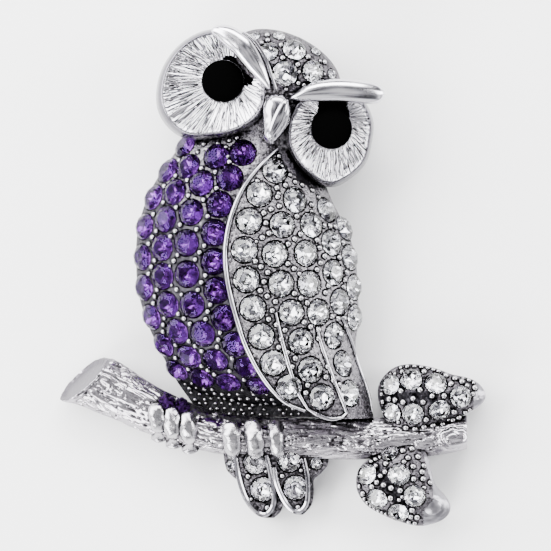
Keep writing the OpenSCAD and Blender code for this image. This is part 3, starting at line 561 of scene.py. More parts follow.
# %% [markdown]
# Each stone is a copy of the cut one, turned a little differently, so no two mirror the same
# part of the room. The facets that look down carry the foil.
# %% Set the stones
def copies(name, master, matrices):
    """Copies of a form, each with its own mesh, joined into one piece."""
    made = []
    for matrix in matrices:
        copy = bpy.data.objects.new(name, master.data.copy())
        bpy.context.scene.collection.objects.link(copy)
        copy.data.transform(matrix)
        made.append(copy)
    return join(name, made)


for name in STONE_NODES:
    violet = name == "breast_stones"
    share = 1.0 if violet else 0.97
    stones = copies(name, cut_stone, [standing(p, share * p[2]) for p in places[name]])
    settle(stones, "cut_" + name, [violet_glass, violet_foil] if violet else [clear_glass, silver_foil],
           smooth=0, nodes=[name])
    stones.data.polygons.foreach_set("material_index", foiled * len(places[name]))

# %% [markdown]
# A stone sits in a seat that is cut out of the metal, a little wider than the stone, so a dark
# line shows round it. A boolean takes only closed forms that don't touch each other, so cutters
# that would touch are cut in different rounds.
# %% Seats
SEAT_GAP = 0.11


def seats(*nodes):
    """What is cut out for the stones of these nodes: form, place, centre and reach of each."""
    return [(seat_form, standing(p, p[2] + 2 * SEAT_GAP), p[0], p[2] / 2 + SEAT_GAP)
            for n in nodes for p in places[n]]


def carve(obj, cuts):
    """Cuts forms out of a solid, those that would touch in different rounds."""
    rounds = []
    for cut in cuts:
        for group in rounds:
            if all((cut[2] - other[2]).length > cut[3] + other[3] + 0.01 for other in group):
                group.append(cut)
                break
        else:
            rounds.append([cut])
    for group in rounds:
        obj = combine(obj, join("cutter", [copies("cutter", form, [matrix]) for form, matrix, *_ in group]))
    print(len(cuts), "cuts in", len(rounds), "rounds")
    return obj

# %% [markdown]
# ## Grains
# The setter leaves small round grains of metal between the stones. In a casting they are part of
# the mould. A grain is a short peg with a round head: the upper half of a ball, with its cut face
# drawn down into the metal, so that it stands on a slope too. They stand in the corners between
# three stones, so the stones' places are joined into triangles, and each triangle gets a grain in
# its middle that just reaches the stones.
# %% One grain and the grains' places
deselect()
bpy.ops.mesh.primitive_uv_sphere_add(segments=12, ring_count=6, radius=1)
grain_form = bpy.context.object
edit(grain_form)
bpy.ops.mesh.bisect(plane_co=(0, 0, -0.05), plane_no=(0, 0, 1), clear_inner=True, use_fill=True)
bpy.ops.mesh.extrude_region_move(TRANSFORM_OT_translate={"value": (0, 0, -1.5)})
done(grain_form, "grain")
print("a grain has", len(grain_form.data.polygons), "faces")

# A gap this wide gets a grain; how far a grain reaches into a seat; least ways apart
WIDE_GAP, OVERLAP, GRAIN_GAP, MOAT_GAP = 0.62, 0.06, 0.02, 0.15


def room_at(point, stones):
    return min((point - p[0]).length - p[2] / 2 for p in stones)


def grain_places(stones, surface, longest=4.1, least=0.15, most=0.26):
    """Places and radii of grains in the corners and wide gaps between stones, on a surface."""
    plan = [Vector(p[0][:2]) for p in stones]
    triangles = geometry.delaunay_2d_cdt(plan, [], [], 0, 0.0001)[2]
    found = []
    for ids in triangles:
        trio = [stones[i] for i in ids]
        sides = [(trio[i], trio[i - 1], (trio[i][0] - trio[i - 1][0]).length) for i in range(3)]
        if max(side[2] for side in sides) > longest:
            continue
        tries = [sum((p[0] for p in trio), Vector()) / 3]
        tries += [(p[0] + q[0]) / 2 for p, q, apart in sides if apart > (p[2] + q[2]) / 2 + WIDE_GAP]
        for point in tries:
            point = on_surface(surface, point.x, point.y)
            radius = min(most, room_at(point, stones) + OVERLAP)
            if radius >= least and all((point - g[0]).length >= radius + g[1] + GRAIN_GAP for g in found):
                found.append((point, radius))
    return found


def fit_grain(found, stones, point, most, least_room=0.07, gap=GRAIN_GAP, least=0.14):
    """Adds a grain at a point where stones and other grains leave it room."""
    room = room_at(point, stones)
    clear = min([(point - g[0]).length - g[1] for g in found] + [9])
    if room > least_room and clear > MOAT_GAP + gap:
        found.append((point, max(least, min(most, room + 0.05, clear - gap))))


def grains(name, found, lift=0.15):
    """Round grains as one piece, each raised by a share of its radius."""
    matrices = [Matrix.Translation(p + Vector((0, 0, lift * r))) @ Matrix.Scale(r, 4) for p, r in found]
    settle(copies(name, grain_form, matrices), name, [worn])

# %% [markdown]
# A graver leaves a fine moat round each grain, where the finishes turn dark: partly from the black that stays
# there, partly from painted shade. It is cut with a short cylinder that stands upright on the surface.
# %% Moats
bpy.ops.mesh.primitive_cylinder_add(vertices=20, radius=1, depth=1, location=(0, 0, 0.5))
bpy.ops.object.transform_apply(location=True)
moat_form = bpy.context.object
moat_form.name = "moat"
MOAT, MOAT_DEPTH, MOAT_HIGH, STEP = 0.095, 0.2, 0.8, 0.05


def moats(found, surface):
    """What is cut out round grains on a surface."""
    cuts = []
    for point, radius in found:
        x, y = point.x, point.y
        normal = Vector((float(surface(x - STEP, y) - surface(x + STEP, y)),
                         float(surface(x, y - STEP) - surface(x, y + STEP)), 2 * STEP)).normalized()
        size = Matrix.Diagonal((radius + MOAT, radius + MOAT, MOAT_HIGH, 1))
        cuts.append((moat_form, facing(point - normal * MOAT_DEPTH, normal) @ size, point, radius + MOAT))
    return cuts


print("moats", MOAT, "mm wide and", MOAT_DEPTH, "deep")

# %% [markdown]
# ## Breast and wing
# The body is a low relief. At each height three places are known: the left edge, the crest and
# the right edge, and the section between them is round. The tables are the CAD model's own, so
# the fine surface lies on its solid. The belly turns under at its lower end.
# %% The body's surface
LEFT_X, FOOT_Y, BODY_W, BODY_H, BODY_T = -13.0, -13.1, 21.1, 25.9, 8.3
EDGE_H, BELLY_R, WING_RISE, GROUND_H = 2.4, 7.5, 0.45, 1.2
# Height; left edge, crest and right edge across; height of the crest
BODY = [
    [-0.01, 0.300, 0.805, 1.072, 0.75], [0.065, 0.234, 0.758, 1.053, 0.81],
    [0.137, 0.173, 0.701, 1.026, 0.87], [0.245, 0.102, 0.626, 0.991, 0.94],
    [0.353, 0.043, 0.578, 1.004, 0.98], [0.460, 0.008, 0.542, 1.000, 1.00],
    [0.568, 0.000, 0.516, 0.991, 1.00], [0.669, 0.006, 0.507, 0.956, 0.99],
    [0.773, 0.041, 0.498, 0.890, 0.95], [0.867, 0.098, 0.503, 0.846, 0.89],
    [0.964, 0.182, 0.512, 0.815, 0.80], [1.054, 0.274, 0.516, 0.789, 0.70],
]
# Front edge of the wing: height, place across
RIM = [
    [-0.003, 0.864], [0.014, 0.811], [0.025, 0.760], [0.056, 0.672], [0.115, 0.600], [0.187, 0.542],
    [0.273, 0.492], [0.371, 0.454], [0.471, 0.424], [0.568, 0.409], [0.665, 0.419], [0.755, 0.450],
    [0.836, 0.498], [0.910, 0.569], [0.964, 0.639],
]


def body_x(share):
    return LEFT_X + BODY_W * share


def body_y(v):
    return FOOT_Y + BODY_H * v


def body_z(x, v):
    left, crest, right = (body_x(curve(BODY, c, v)) for c in (1, 2, 3))
    profile = np.where(x < crest, dome((crest - x) / (crest - left), 0.87),
                       dome((x - crest) / (right - crest), 0.93))
    return EDGE_H + (BODY_T * curve(BODY, 4, v) - EDGE_H) * profile


def breast_z(x, y):
    v = (y - FOOT_Y) / BODY_H
    down = np.clip((0.317 - v) * BODY_H, 0, 0.97 * BELLY_R)
    return np.maximum(body_z(x, v) - (BELLY_R - np.sqrt(BELLY_R ** 2 - down ** 2)), GROUND_H)


def wing_z(x, y):
    return body_z(x, (y - FOOT_Y) / BODY_H) + WING_RISE


def off_rim(x, y):
    """Distance across from the wing's edge, in mm; positive on the wing."""
    return x - float(body_x(curve(RIM, 1, (y - FOOT_Y) / BODY_H)))


print("crest of the breast", round(float(breast_z(-2, 2)), 2), "mm high")

# %% [markdown]
# Two sheets are shaped, one for the breast and one for the wing that laps over it. They are
# joined into one solid, and the recess in the back is cut out of it. The stones' seats come
# later, after the lines of the rims. Two noises give the metal the uneven skin of a casting.
# %% Breast and wing as one solid
EDGE_IN = 0.28
# The recess keeps walls of these widths at its right and left, and this height
WALL_RIGHT, WALL_LEFT, RECESS_LOW, RECESS_HIGH, RECESS_STEPS, RECESS_DEEP = 2.95, 2.5, 0.14, 0.72, 8, 2.6


def cast_skin(x, y):
    """The uneven skin of a casting between its stones, in mm."""
    return 0.055 * speckle(x * 2.9, y * 2.9, 0 * x) + 0.04 * speckle(x * 6.5, y * 6.5, 5 + 0 * x)


def breast_sheet(u, v):
    height = v * 1.05
    left, right = body_x(curve(BODY, 1, height)) + EDGE_IN, body_x(curve(BODY, 3, height)) - 0.4
    x, y = left + (right - left) * (1 - np.cos(np.pi * u)) / 2, body_y(height)
    return x, y, breast_z(x, y) + cast_skin(x, y)


def wing_sheet(u, v):
    height = -0.003 + 0.963 * v ** 1.25
    left, right = body_x(curve(RIM, 1, height)), body_x(curve(BODY, 3, height)) - EDGE_IN / 2
    x, y = left + (right - left) * np.sin(u * np.pi / 2), body_y(height)
    return x, y, wing_z(x, y) + cast_skin(x, y)


body = sheet("breast", 130, 160, breast_sheet, 0)
body = combine(body, sheet("wing", 110, 170, wing_sheet, -0.01), "UNION")

rows = [RECESS_LOW + RECESS_HIGH * i / RECESS_STEPS for i in range(RECESS_STEPS + 1)]
outline = [(body_x(curve(BODY, 3, v)) - WALL_RIGHT, body_y(v)) for v in rows]
outline += [(body_x(curve(BODY, 1, v)) + WALL_LEFT, body_y(v)) for v in reversed(rows)]
deselect()
bpy.ops.mesh.primitive_circle_add(vertices=len(outline), radius=1, fill_type="NGON")
recess = bpy.context.object
for point, (x, y) in zip(recess.data.vertices, outline):
    point.co = (float(x), float(y), -1)
edit(recess)
bpy.ops.mesh.extrude_region_move(TRANSFORM_OT_translate={"value": (0, 0, RECESS_DEEP + 1)})
body = combine(body, done(recess))
print("body", len(body.data.polygons), "faces")

# %% [markdown]
# ## Polished rims
# The wing's edge and the edges of its feathers are rounded wires of polished metal. A wire is
# easiest to draw as a curve with a round section, which is then made a mesh. A thicker copy of
# each wire is cut out of the ground first: that leaves the thin black line on both sides.
# %% Wires on a surface
def wire(name, points, radius, ends=1.0):
    """A round wire through points in mm; ends is its thickness at both ends, as a share."""
    deselect()
    bpy.ops.curve.primitive_bezier_curve_add()
    obj = bpy.context.object
    obj.name = name
    obj.data.dimensions = "3D"
    spline = obj.data.splines[0]
    spline.bezier_points.add(len(points) - 2)
    for i, (point, knot) in enumerate(zip(points, spline.bezier_points)):
        knot.co = point
        knot.handle_left_type = knot.handle_right_type = "AUTO"
        knot.radius = ends + (1 - ends) * min(1, 4 * i / (len(points) - 1), 4 * (1 - i / (len(points) - 1)))
    obj.data.resolution_u = 3
    obj.data.bevel_depth = radius
    obj.data.bevel_resolution = 3
    obj.data.use_fill_caps = True
    bpy.ops.object.convert(target="MESH")
    return close(bpy.context.object)


def on(surface, points, lift=0.0, steps=24):
    """A smooth line through plan points, laid on a surface."""
    table = numbered(points)
    line = [(float(curve(table, 1, k / steps)), float(curve(table, 2, k / steps))) for k in range(steps + 1)]
    return [(x, y, float(surface(x, y)) + lift) for x, y in line]


# Edges of the feathers: place across, height
FEATHERS = [
    [[0.631, 0.378], [0.655, 0.288], [0.689, 0.187], [0.728, 0.094], [0.770, 0.034]],
    [[0.810, 0.326], [0.839, 0.241], [0.884, 0.140], [0.925, 0.059], [0.942, 0.018]],
    [[0.921, 0.363], [0.964, 0.273], [0.998, 0.182], [1.038, 0.090], [1.056, 0.020]],
    [[0.770, 0.034], [0.811, 0.014], [0.864, -0.002], [0.916, 0.001], [0.942, 0.018]],
]
RIM_R, FEATHER_R, LINE = 0.22, 0.19, 0.09
lines = [([(body_x(across), body_y(v)) for v, across in reversed(RIM) if v > 0.02], RIM_R, 40)]
lines += [([(body_x(across), body_y(v)) for across, v in feather], FEATHER_R, 20) for feather in FEATHERS]
for points, radius, steps in lines:
    body = combine(body, wire("line", on(wing_z, points, 0.02, steps), radius + LINE))
wires = [wire("rim", on(wing_z, points, 0.07, steps), radius, 0.6) for points, radius, steps in lines]
settle(wires, "wing_rims", [polished], smooth=60)

# %% [markdown]
# ## Grains of breast and wing
# The grains are found first, because each needs its moat in the ground. A few stand where the photograph shows
# them, at the neck and on the wing. Then seats and moats are cut together, and each face of the ground gets its
# finish by its place: near black below the belly, a painted shadow; a darker grey on the sides and the back, a
# painted shade; painted shade on the wing under the head; and darker in steps towards the belly and at the
# wing's hem.
# %% Grains, moats and seats of the body
NECK_GRAINS = [
    (218, 143.5), (226, 147.5), (228, 157), (229.5, 140.5), (204, 144), (198, 152), (237, 138),
    (211, 149),
]
WING_GRAINS = [
    (279, 156.5), (257.5, 181.5), (295, 182), (302, 185), (278.5, 194), (312, 190), (318, 197),
    (290, 175),
]
breast_found = [g for g in grain_places(places["breast_stones"], breast_z) if off_rim(g[0].x, g[0].y) < -0.5]
breast_found += [(on_surface(breast_z, *spot(c, r)), 0.22) for c, r in NECK_GRAINS]
wing_found = [g for g in grain_places(places["wing_stones"], wing_z, 4.1, 0.17, 0.28)
              if off_rim(g[0].x, g[0].y) > 0.5]
wing_found += [(on_surface(wing_z, *spot(c, r)), 0.24) for c, r in WING_GRAINS]
cuts = seats("breast_stones", "wing_stones") + moats(breast_found, breast_z) + moats(wing_found, wing_z)
body = carve(body, cuts)


def body_finish(face):
    """Number of a face's finish: 0 antiqued, 1 black, a painted shadow, 2 side, a painted shade, 3 deep, 4
    darkest, a painted shade.
    """
    x, y, _ = face.center / MM
    on_breast = off_rim(x, max(y, FOOT_Y)) < -0.2
    frayed = 7 * fleck(x * 2, y * 2, 0) + 0.25 * (x / PIXEL - 40)
    # Below the belly: near black, a painted shadow
    if on_breast and y < at_row(381):
        return 1
    # Steep faces and the back: the darker side finish, a painted shade
    if on_side(face, RECESS_DEEP + 0.02):
        return 2
    # The low breast darkens in steps towards the belly, into the painted shadow below it
    if on_breast and y < at_row(160):
        return 4 if y < at_row(300 + 3 * frayed) else 3 if y < at_row(225 + 3 * frayed) else 0
    # Painted shade on the wing's corner under the head
    if y > at_row(186 + frayed) and x > at_column(296):
        return 4
    return 3 if y < at_row(372 + frayed) else 0


settle(body, "body_ground", [antiqued, painted_shadow_black, side, deep, darkest_shade], body_finish)
grains("breast_grains", breast_found)
grains("wing_grains", wing_found)

# %% [markdown]
# ## Eyes
# Each eye is a shallow dish with a pupil of enamel. Its face is scratched with lines that run
# from the pupil outwards. The sheet is laid round the pupil like a fan, and the lines are a noise
# that changes fast round the pupil and slowly outwards.
# %% The shape of an eye disc
SPAN, TILT = 12.35, math.radians(25.4)
COS, SIN = math.cos(TILT), math.sin(TILT)
HEAD = (LEFT_X + 0.608 * BODY_W, FOOT_Y + 1.092 * BODY_H)
FACE_H, DISH_H, PUPIL_H = 7.3, 0.5, 0.9
# Reach from the middle to the rim at even steps of a turn, in radii
NEAR_EYE = [1.02, 1.03, 1.07, 1.00, 0.93, 0.91, 0.96, 1.06, 1.07, 0.965, 1.00, 1.07]
FAR_EYE = [0.92, 1.08, 1.20, 1.11, 1.18, 1.07, 0.98, 0.90, 0.91, 1.00, 0.92, 0.91]
# Reach from the pupil to the rim, share of the face's height, step above it in dishes
DISC = [
    [0.0, 1, -1.0], [0.2, 1, -0.93], [0.40, 1, -0.80], [0.60, 1, -0.55], [0.78, 1, -0.2], [0.85, 1, 0.02],
    [0.90, 1, -0.22], [0.955, 0.90, 0], [0.99, 0.74, 0], [1, 0.58, 0], [0.95, 0.42, 0], [0.90, 0.2, 0],
    [0.87, 0, 0.04],
]
# Height of two noises and depth of the scratches, in mm
WIDE, FINE, SCRATCH = 0.06, 0.055, 0.11


def head_at(a, b):
    """A place along the eyes' line and up to the crown, in eye spans."""
    return np.array([HEAD[0] + SPAN * (a * COS + b * SIN),
                     HEAD[1] + SPAN * (b * COS - a * SIN)])


def slope(centre, x, y, lean):
    return lean * ((x - centre[0]) * COS - (y - centre[1]) * SIN)


def disc_sheet(centre, radius, outline, lean, pupil, pupil_r):
    rows = numbered(DISC)

    def shape(u, v):
        reach = np.clip(curve(rows, 1, v), 0, 1.0)
        c, s = circle(u)
        edge, inner = radius * around(outline, u), pupil_r + 0.03
        x = (1 - reach) * (pupil[0] + inner * c) + reach * (centre[0] + edge * c)
        y = (1 - reach) * (pupil[1] + inner * s) + reach * (centre[1] + edge * s)
        z = curve(rows, 2, v) * (FACE_H + slope(centre, x, y, lean)) + curve(rows, 3, v) * DISH_H
        wide, fine = speckle(c * 12, s * 12, reach * 1.2), speckle(c * 34, s * 34, reach * 1.6)
        cuts = np.maximum(0, 1 - np.abs(speckle(c * 19 + 7, s * 19, reach * 1.5)) / 0.10)
        face = smooth_step(v, 0.0, 0.04) * (1 - smooth_step(v, 0.36, 0.42))
        return x, y, z + (WIDE * wide + FINE * fine - SCRATCH * cuts) * face

    return shape

# %% [markdown]
# The near eye is larger, and its pupil looks a little outwards. The face is brushed and the side a darker grey,
# a painted shade. Under each brow the pupil's black enamel is laid a little out onto the face, as a painted
# shadow of the brow, where the photograph shows it.
# %% Eye discs
# Name; place along the eyes' line; radius; outline; lean; the pupil's place in radii and its radius
eyes = []
for name, along, radius, outline, lean, off, pupil_r in (
        ("left", -0.5, 5.2, NEAR_EYE, 0.14, (0.22, 0.06), 1.95),
        ("right", 0.5, 4.2, FAR_EYE, -0.26, (0.02, 0.29), 1.88)):
    centre = head_at(along, 0)
    eyes.append((name, centre, radius, outline, lean, centre + radius * np.array(off), pupil_r))

# Painted shadow of the brows: under them the pupils' black enamel is laid on the disc; corners of two areas in
# the photograph
BROW_SHADOWS = [[(216, 66), (226, 56), (236, 57), (246, 68), (254, 79), (252, 85), (244, 87), (226, 84)],
          [(319, 100), (346, 100), (349, 112), (350, 126), (332, 132), (316, 128), (317, 112)]]


def in_brow_shadow(x, y):
    column, row = pixel(x, y)
    frayed = 12.8 * fleck(x * 4, y * 4, 0)
    return any(all((q[0] - p[0]) * (row - p[1]) - (q[1] - p[1]) * (column - p[0]) > frayed
                   for p, q in zip(area, area[1:] + area[:1])) for area in BROW_SHADOWS)


for name, centre, radius, outline, lean, pupil, pupil_r in eyes:
    def disc_finish(face):
        """0 brushed, 1 side, a painted shade, 2 enamel black, the painted shadow under the brow."""
        x, y = face.center.x / MM - centre[0], face.center.y / MM - centre[1]
        reach = math.hypot(x, y) / (radius * float(around(outline, math.atan2(y, x) / math.tau)))
        if reach > 0.88 or face.center.z < 4 * MM:
            return 1
        return 2 if in_brow_shadow(face.center.x / MM, face.center.y / MM) else 0

    disc = sheet(name, 720, 64, disc_sheet(centre, radius, outline, lean, pupil, pupil_r), hole=True)
    settle(disc, name + "_eye_disc", [brushed, side, enamel], disc_finish)

# %% [markdown]
# A pupil is the top of a ball, pressed flat: a sphere is added, cut off below with a bisect, and
# scaled to the pupil's height.
# %% Pupils
for name, centre, radius, outline, lean, pupil, pupil_r in eyes:
    deselect()
    bpy.ops.mesh.primitive_uv_sphere_add(segments=96, ring_count=64, radius=pupil_r)
    ball = bpy.context.object
    edit(ball)
    bpy.ops.mesh.bisect(plane_co=(0, 0, 0), plane_no=(0, 0, 1), clear_inner=True, use_fill=True)
    bpy.ops.mesh.select_all(action="SELECT")
    bpy.ops.transform.resize(value=(1, 1, PUPIL_H / pupil_r))
    done(ball).location = (*pupil, FACE_H - DISH_H + slope(centre, *pupil, lean))
    settle(ball, "enamel_pupil_" + name, [enamel], nodes=["pupil_" + name])

# %% [markdown]
# ## Brows, beak and toes
# These are bars whose width and height change along them. The sheet is rolled into a tube round
# a line of rows, and its ends are rounded off. Toes and tufts are also pushed in and out with
# noise, because the model for the mould was shaped by hand.
# %% Bars
def bar(name, rows, sides, steps, square=1.0, blunt=10, wobble=0.0, seed=0.0, lumps=1.6):
    """A closed bar through rows (x, y, z, half width, half height). A low square makes its section
    boxier, a high blunt its ends. wobble is its lumps' height as a share, lumps their number in a mm."""
    table = numbered(rows)

    def shape(u, v):
        x, y, z, w, h = (curve(table, c, v) for c in range(1, 6))
        ahead, behind = np.minimum(v + 1e-3, 1), np.maximum(v - 1e-3, 0)
        t = np.stack([curve(table, c, ahead) - curve(table, c, behind) for c in (1, 2, 3)], 1)
        t /= np.linalg.norm(t, axis=1)[:, None]
        side = np.stack([-t[:, 1], t[:, 0], np.zeros(len(t))], 1)
        side /= np.linalg.norm(side, axis=1)[:, None]
        end = np.sqrt(np.clip(1 - np.abs(2 * v - 1) ** blunt, 0, 1))
        c, s = circle(u)
        a = np.sign(c) * np.abs(c) ** square * w * end
        b = np.sign(s) * np.abs(s) ** square * h * end
        middle = np.stack([x, y, z], 1)
        p = middle + a[:, None] * side + b[:, None] * np.cross(t, side)
        if wobble:
            lump = 1 + wobble * speckle(p[:, 0] * lumps + seed, p[:, 1] * lumps, p[:, 2] * lumps)
            p = middle + (p - middle) * lump[:, None]
        return p[:, 0], p[:, 1], p[:, 2]

    return sheet(name, sides, steps, shape)


def measured(rows, deep):
    """Rows for a bar from a middle line in the photograph, half widths in pixels and tops in mm."""
    return [[*spot(c, r), top - deep, half * PIXEL, deep] for c, r, half, top in rows]


NEAR_BROW = [
    (213.5, 32.5, 3.4, 8.4), (219, 32.5, 6.8, 8.7), (227, 35.8, 9.6, 8.95), (236, 41.8, 10.8, 9.15),
    (243.3, 48.4, 11.2, 9.3), (249.4, 56.6, 10.8, 9.3), (255.5, 66, 9.6, 9.3), (261, 74.5, 7.6, 9.2),
    (266, 83, 4.8, 9.0), (269.8, 90.5, 2.0, 8.7),
]
FAR_BROW = [
    (289.5, 99.5, 1.6, 8.9), (298, 97.4, 5.0, 9.05), (308, 94.0, 8.6, 9.15), (318, 92.4, 10.4, 9.15),
    (328, 91.6, 11.1, 9.1), (338, 91.3, 11.4, 9.0), (348, 91.6, 11.5, 8.85), (358, 92.4, 11.4, 8.65),
    (367.5, 93.4, 11.0, 8.4), (376, 94.6, 9.9, 8.15), (383.3, 95.8, 7.6, 7.9),
]
brows = [bar("brow", measured(rows, 0.75), 44, 160, 0.95, 14) for rows in (NEAR_BROW, FAR_BROW)]
settle(brows, "brows", [satin], smooth=60)

# %% [markdown]
# The beak is a dome with a bright facet on it. The dome is a sheet laid round its middle: the
# rows below are the way out from the middle, as a share of the outline, and the height there.
# The facet is a slim bar that is sunk into the dome along its left side.
# %% Beak
# Reach in pixels, anticlockwise from the right, in even steps of a turn round the beak's middle
BEAK_MIDDLE = (276.5, 119.5)
BEAK_OUTLINE = [
    14.0, 15.6, 18.6, 23.0, 24.6, 24.6, 21.5, 17.3, 14.4, 13.4, 14.6, 17.6, 24.0, 26.0, 19.0, 15.0, 13.6,
    13.4,
]
BEAK_ROWS = [
    [0.0, 9.98], [0.25, 9.95], [0.5, 9.86], [0.70, 9.72], [0.84, 9.56], [0.93, 9.30], [0.98, 8.9],
    [1.0, 8.4], [0.99, 7.8], [0.97, 7.2], [0.94, 6.6],
]
FACET = [
    (285.5, 100, 1.5, 9.85), (284, 106, 4.2, 10.05), (281.5, 113, 5.6, 10.12), (278.5, 120, 6.0, 10.12),
    (275, 127, 5.4, 10.05), (271.8, 134, 3.8, 9.92), (269.5, 140, 1.6, 9.7),
]


def beak_sheet(u, v):
    rows = numbered(BEAK_ROWS)
    away = np.maximum(curve(rows, 1, v), 0) * around(BEAK_OUTLINE, u) * PIXEL
    (x, y), (c, s) = spot(*BEAK_MIDDLE), circle(u)
    x, y = x + away * c, y + away * s
    top = curve(rows, 2, v) + 0.035 * (y - at_row(BEAK_MIDDLE[1]))
    return x, y, top - 0.05 * np.maximum(at_row(132) - y, 0) ** 2


beak = [sheet("beak", 120, 60, beak_sheet, hole=True),
        bar("facet", measured(FACET, 0.30), 36, 70, 0.85, 8)]
settle(beak, "beak", [polished], smooth=60)

# %% [markdown]
# ## Crown
# The crown is a cap over the eyes, set with clear stones. It is a sheet laid round its middle:
# out to the rim, then down the side to the back.
# %% Crown
CROWN_L, CROWN_W, CROWN_H = 10.8, 6.1, 8.8
OUT, CAP = 0.7, 0.75
crown_c = head_at(-0.040, 0.360)
CROWN_GRAINS = [
    (246, 44), (262, 41), (271, 40), (290, 41.5), (301, 46), (283, 62), (258, 62), (262, 72), (268, 66),
    (300, 64), (327, 66), (320, 62), (298, 84), (286, 90), (272, 83), (322, 82), (304, 86), (278, 47),
    (262, 50), (308, 62), (324, 75), (334, 80), (299, 73), (252, 54), (312, 60),
]


def crown_z(x, y):
    a = (x - crown_c[0]) * COS - (y - crown_c[1]) * SIN
    b = (x - crown_c[0]) * SIN + (y - crown_c[1]) * COS
    share = np.sqrt((a * 2 / CROWN_L) ** 2 + (b * 2 / CROWN_W) ** 2)
    return CROWN_H * (CAP + (1 - CAP) * dome(share, 0.85))


def crown_sheet(u, v):
    down = np.clip((v - OUT) / 0.3, 0, 1)
    share = np.minimum(v / OUT, 1) * (1 - 0.10 * down ** 2)
    c, s = circle(u)
    a, b = share * CROWN_L / 2 * c, share * CROWN_W / 2 * s
    x = crown_c[0] + a * COS + b * SIN
    y = crown_c[1] + b * COS - a * SIN
    top = crown_z(x, y) + cast_skin(x, y)
    return x, y, np.where(down > 0, CROWN_H * CAP * (1 - down) + 0.06 * down, top)


crown = sheet("crown", 180, 100, crown_sheet, hole=True)
crown_found = grain_places(places["crown_stones"], crown_z, 5.0)
for column, row in CROWN_GRAINS:
    fit_grain(crown_found, places["crown_stones"], on_surface(crown_z, *spot(column, row)), 0.22, 0.08, 0.03, 0)
crown = carve(crown, seats("crown_stones") + moats(crown_found, crown_z))
# Steep faces take the darker side finish, a painted shade
settle(crown, "crown", [deep, side], lambda face: int(on_side(face, 0.74 * CROWN_H)))
grains("crown_grains", crown_found)

# %% [markdown]
# Under the head stand posts that carry it, hidden from in front: a few cylinders wrapped in one
# convex form. A polished wire closes the crown where it meets the near brow.
# %% The metal under the head and the crown's edge
def pillar(name, centres, radius, low, high):
    """Upright round posts, wrapped in one convex form."""
    deselect()
    for i, centre in enumerate(centres):
        bpy.ops.mesh.primitive_cylinder_add(vertices=32, radius=radius, depth=high - low,
                                            location=(*centre, (low + high) / 2))
        if i == 0:
            obj = bpy.context.object
            bpy.ops.object.transform_apply(location=True)
            bpy.ops.object.mode_set(mode="EDIT")
    bpy.ops.mesh.select_all(action="SELECT")
    bpy.ops.mesh.convex_hull()
    bpy.ops.object.mode_set(mode="OBJECT")
    return obj


core = [pillar("core", [head_at(-0.42, 0.02), head_at(0.36, -0.02), head_at(-0.04, 0.40)], 2.6, 0.08, 6.0),
        pillar("neck", [head_at(-0.04, 0.34), head_at(0.02, 0.16)], 1.6, 2.4, 7.9)]
# Faces looking down take the darker side finish, a painted shade
settle(core, "head_core", [antiqued, side], lambda face: int(face.normal.z < -0.5))
edge = [spot(c, r) for c, r in ((243, 33.5), (252, 40), (260, 50.5), (266.5, 62), (271, 75), (276, 90))]
settle(wire("crown_edge", on(lambda x, y: 8.75, edge), 0.19, 0.6), "crown_edge", [polished], smooth=60)

# %% [markdown]
# ## Branch
# The branch is a thick rod with bark. Bark is made of long ridges that run with the wood and
# split round knots, so its height is a noise that is stretched along the branch. Two thinner
# noises cut cracks into it, some pits are pressed in where the photograph shows them, and a
# knot's rings stand near the right end.
# %% The branch's line and bark
BRANCH_L, BRANCH_D, BRANCH_H, BRANCH_X = 38.3, 3.8, 4.0, -19.9
BRANCH_Y = FOOT_Y - 0.54 * BRANCH_D
FIRST, LAST, END, AXIS = 0.045, 0.994, 0.02, 0.475
# Place along; height above its line and width in diameters; turn of the section
BRANCH = [
    [FIRST, 1.605, 1.51, 43], [0.113, 1.290, 1.36, 58], [0.174, 0.976, 1.22, 66],
    [0.247, 0.610, 1.10, 68], [0.344, 0.244, 1.03, 74], [0.453, 0.050, 1.00, 85],
    [0.586, 0.000, 1.00, 90], [0.732, 0.000, 1.00, 90], [0.853, 0.050, 0.97, 91],
    [0.938, 0.070, 0.89, 91], [LAST, 0.170, 0.83, 90],
]
# Pits in the bark: column, row, half length along and half width across in mm, depth
PITS = [
    (118, 368, 0.5, 0.3, 0.3), (103, 387, 0.6, 0.3, 0.3), (84, 391, 0.6, 0.25, 0.25),
    (111, 400, 0.5, 0.2, 0.2), (305, 426, 0.8, 0.30, 0.22), (325, 428, 0.9, 0.32, 0.26),
    (338, 444, 0.9, 0.18, 0.3), (362, 443, 0.5, 0.25, 0.35), (215, 430, 0.8, 0.2, 0.3),
    (300, 447, 0.7, 0.2, 0.25), (350, 426, 0.7, 0.22, 0.2),
]
KNOT = (455, 438)


def branch_at(s):
    return BRANCH_X + BRANCH_L * s, BRANCH_Y + BRANCH_D * curve(BRANCH, 1, s)


def branch_top(s, across):
    """Height of the branch's back at a place along it and across it, in diameters."""
    span = np.clip(1 - (2 * across / curve(BRANCH, 2, s)) ** 2, 0.05, 1)
    return BRANCH_H * (AXIS + (1 - AXIS) * np.sqrt(span))


def bark_height(s, angle, inward):
    """Ridges and cracks, in mm: s runs along the branch and angle round it."""
    sway = 0.25 * speckle(s * 9, np.cos(angle), np.sin(angle))
    c, d = np.cos(angle + sway), np.sin(angle + sway)
    cracks = np.maximum(0, 1 - np.abs(speckle(s * 13, c * 4.6, d * 4.6)) / 0.15)
    lines = np.maximum(0, 1 - np.abs(speckle(s * 13 + 3, c * 7 + 5, d * 7)) / 0.14)
    bark = (0.10 * speckle(s * 10 + 4, c * 3.6, d * 3.6) + 0.06 * speckle(s * 17 + 9, c * 8, d * 8)
            + 0.02 * speckle(s * 45, c * 14, d * 14) - 0.13 * cracks - 0.09 * lines)
    return bark * smooth_step(inward, 0.2, 1.0) * (1 - 0.75 * smooth_step(s, 0.915, 0.935))

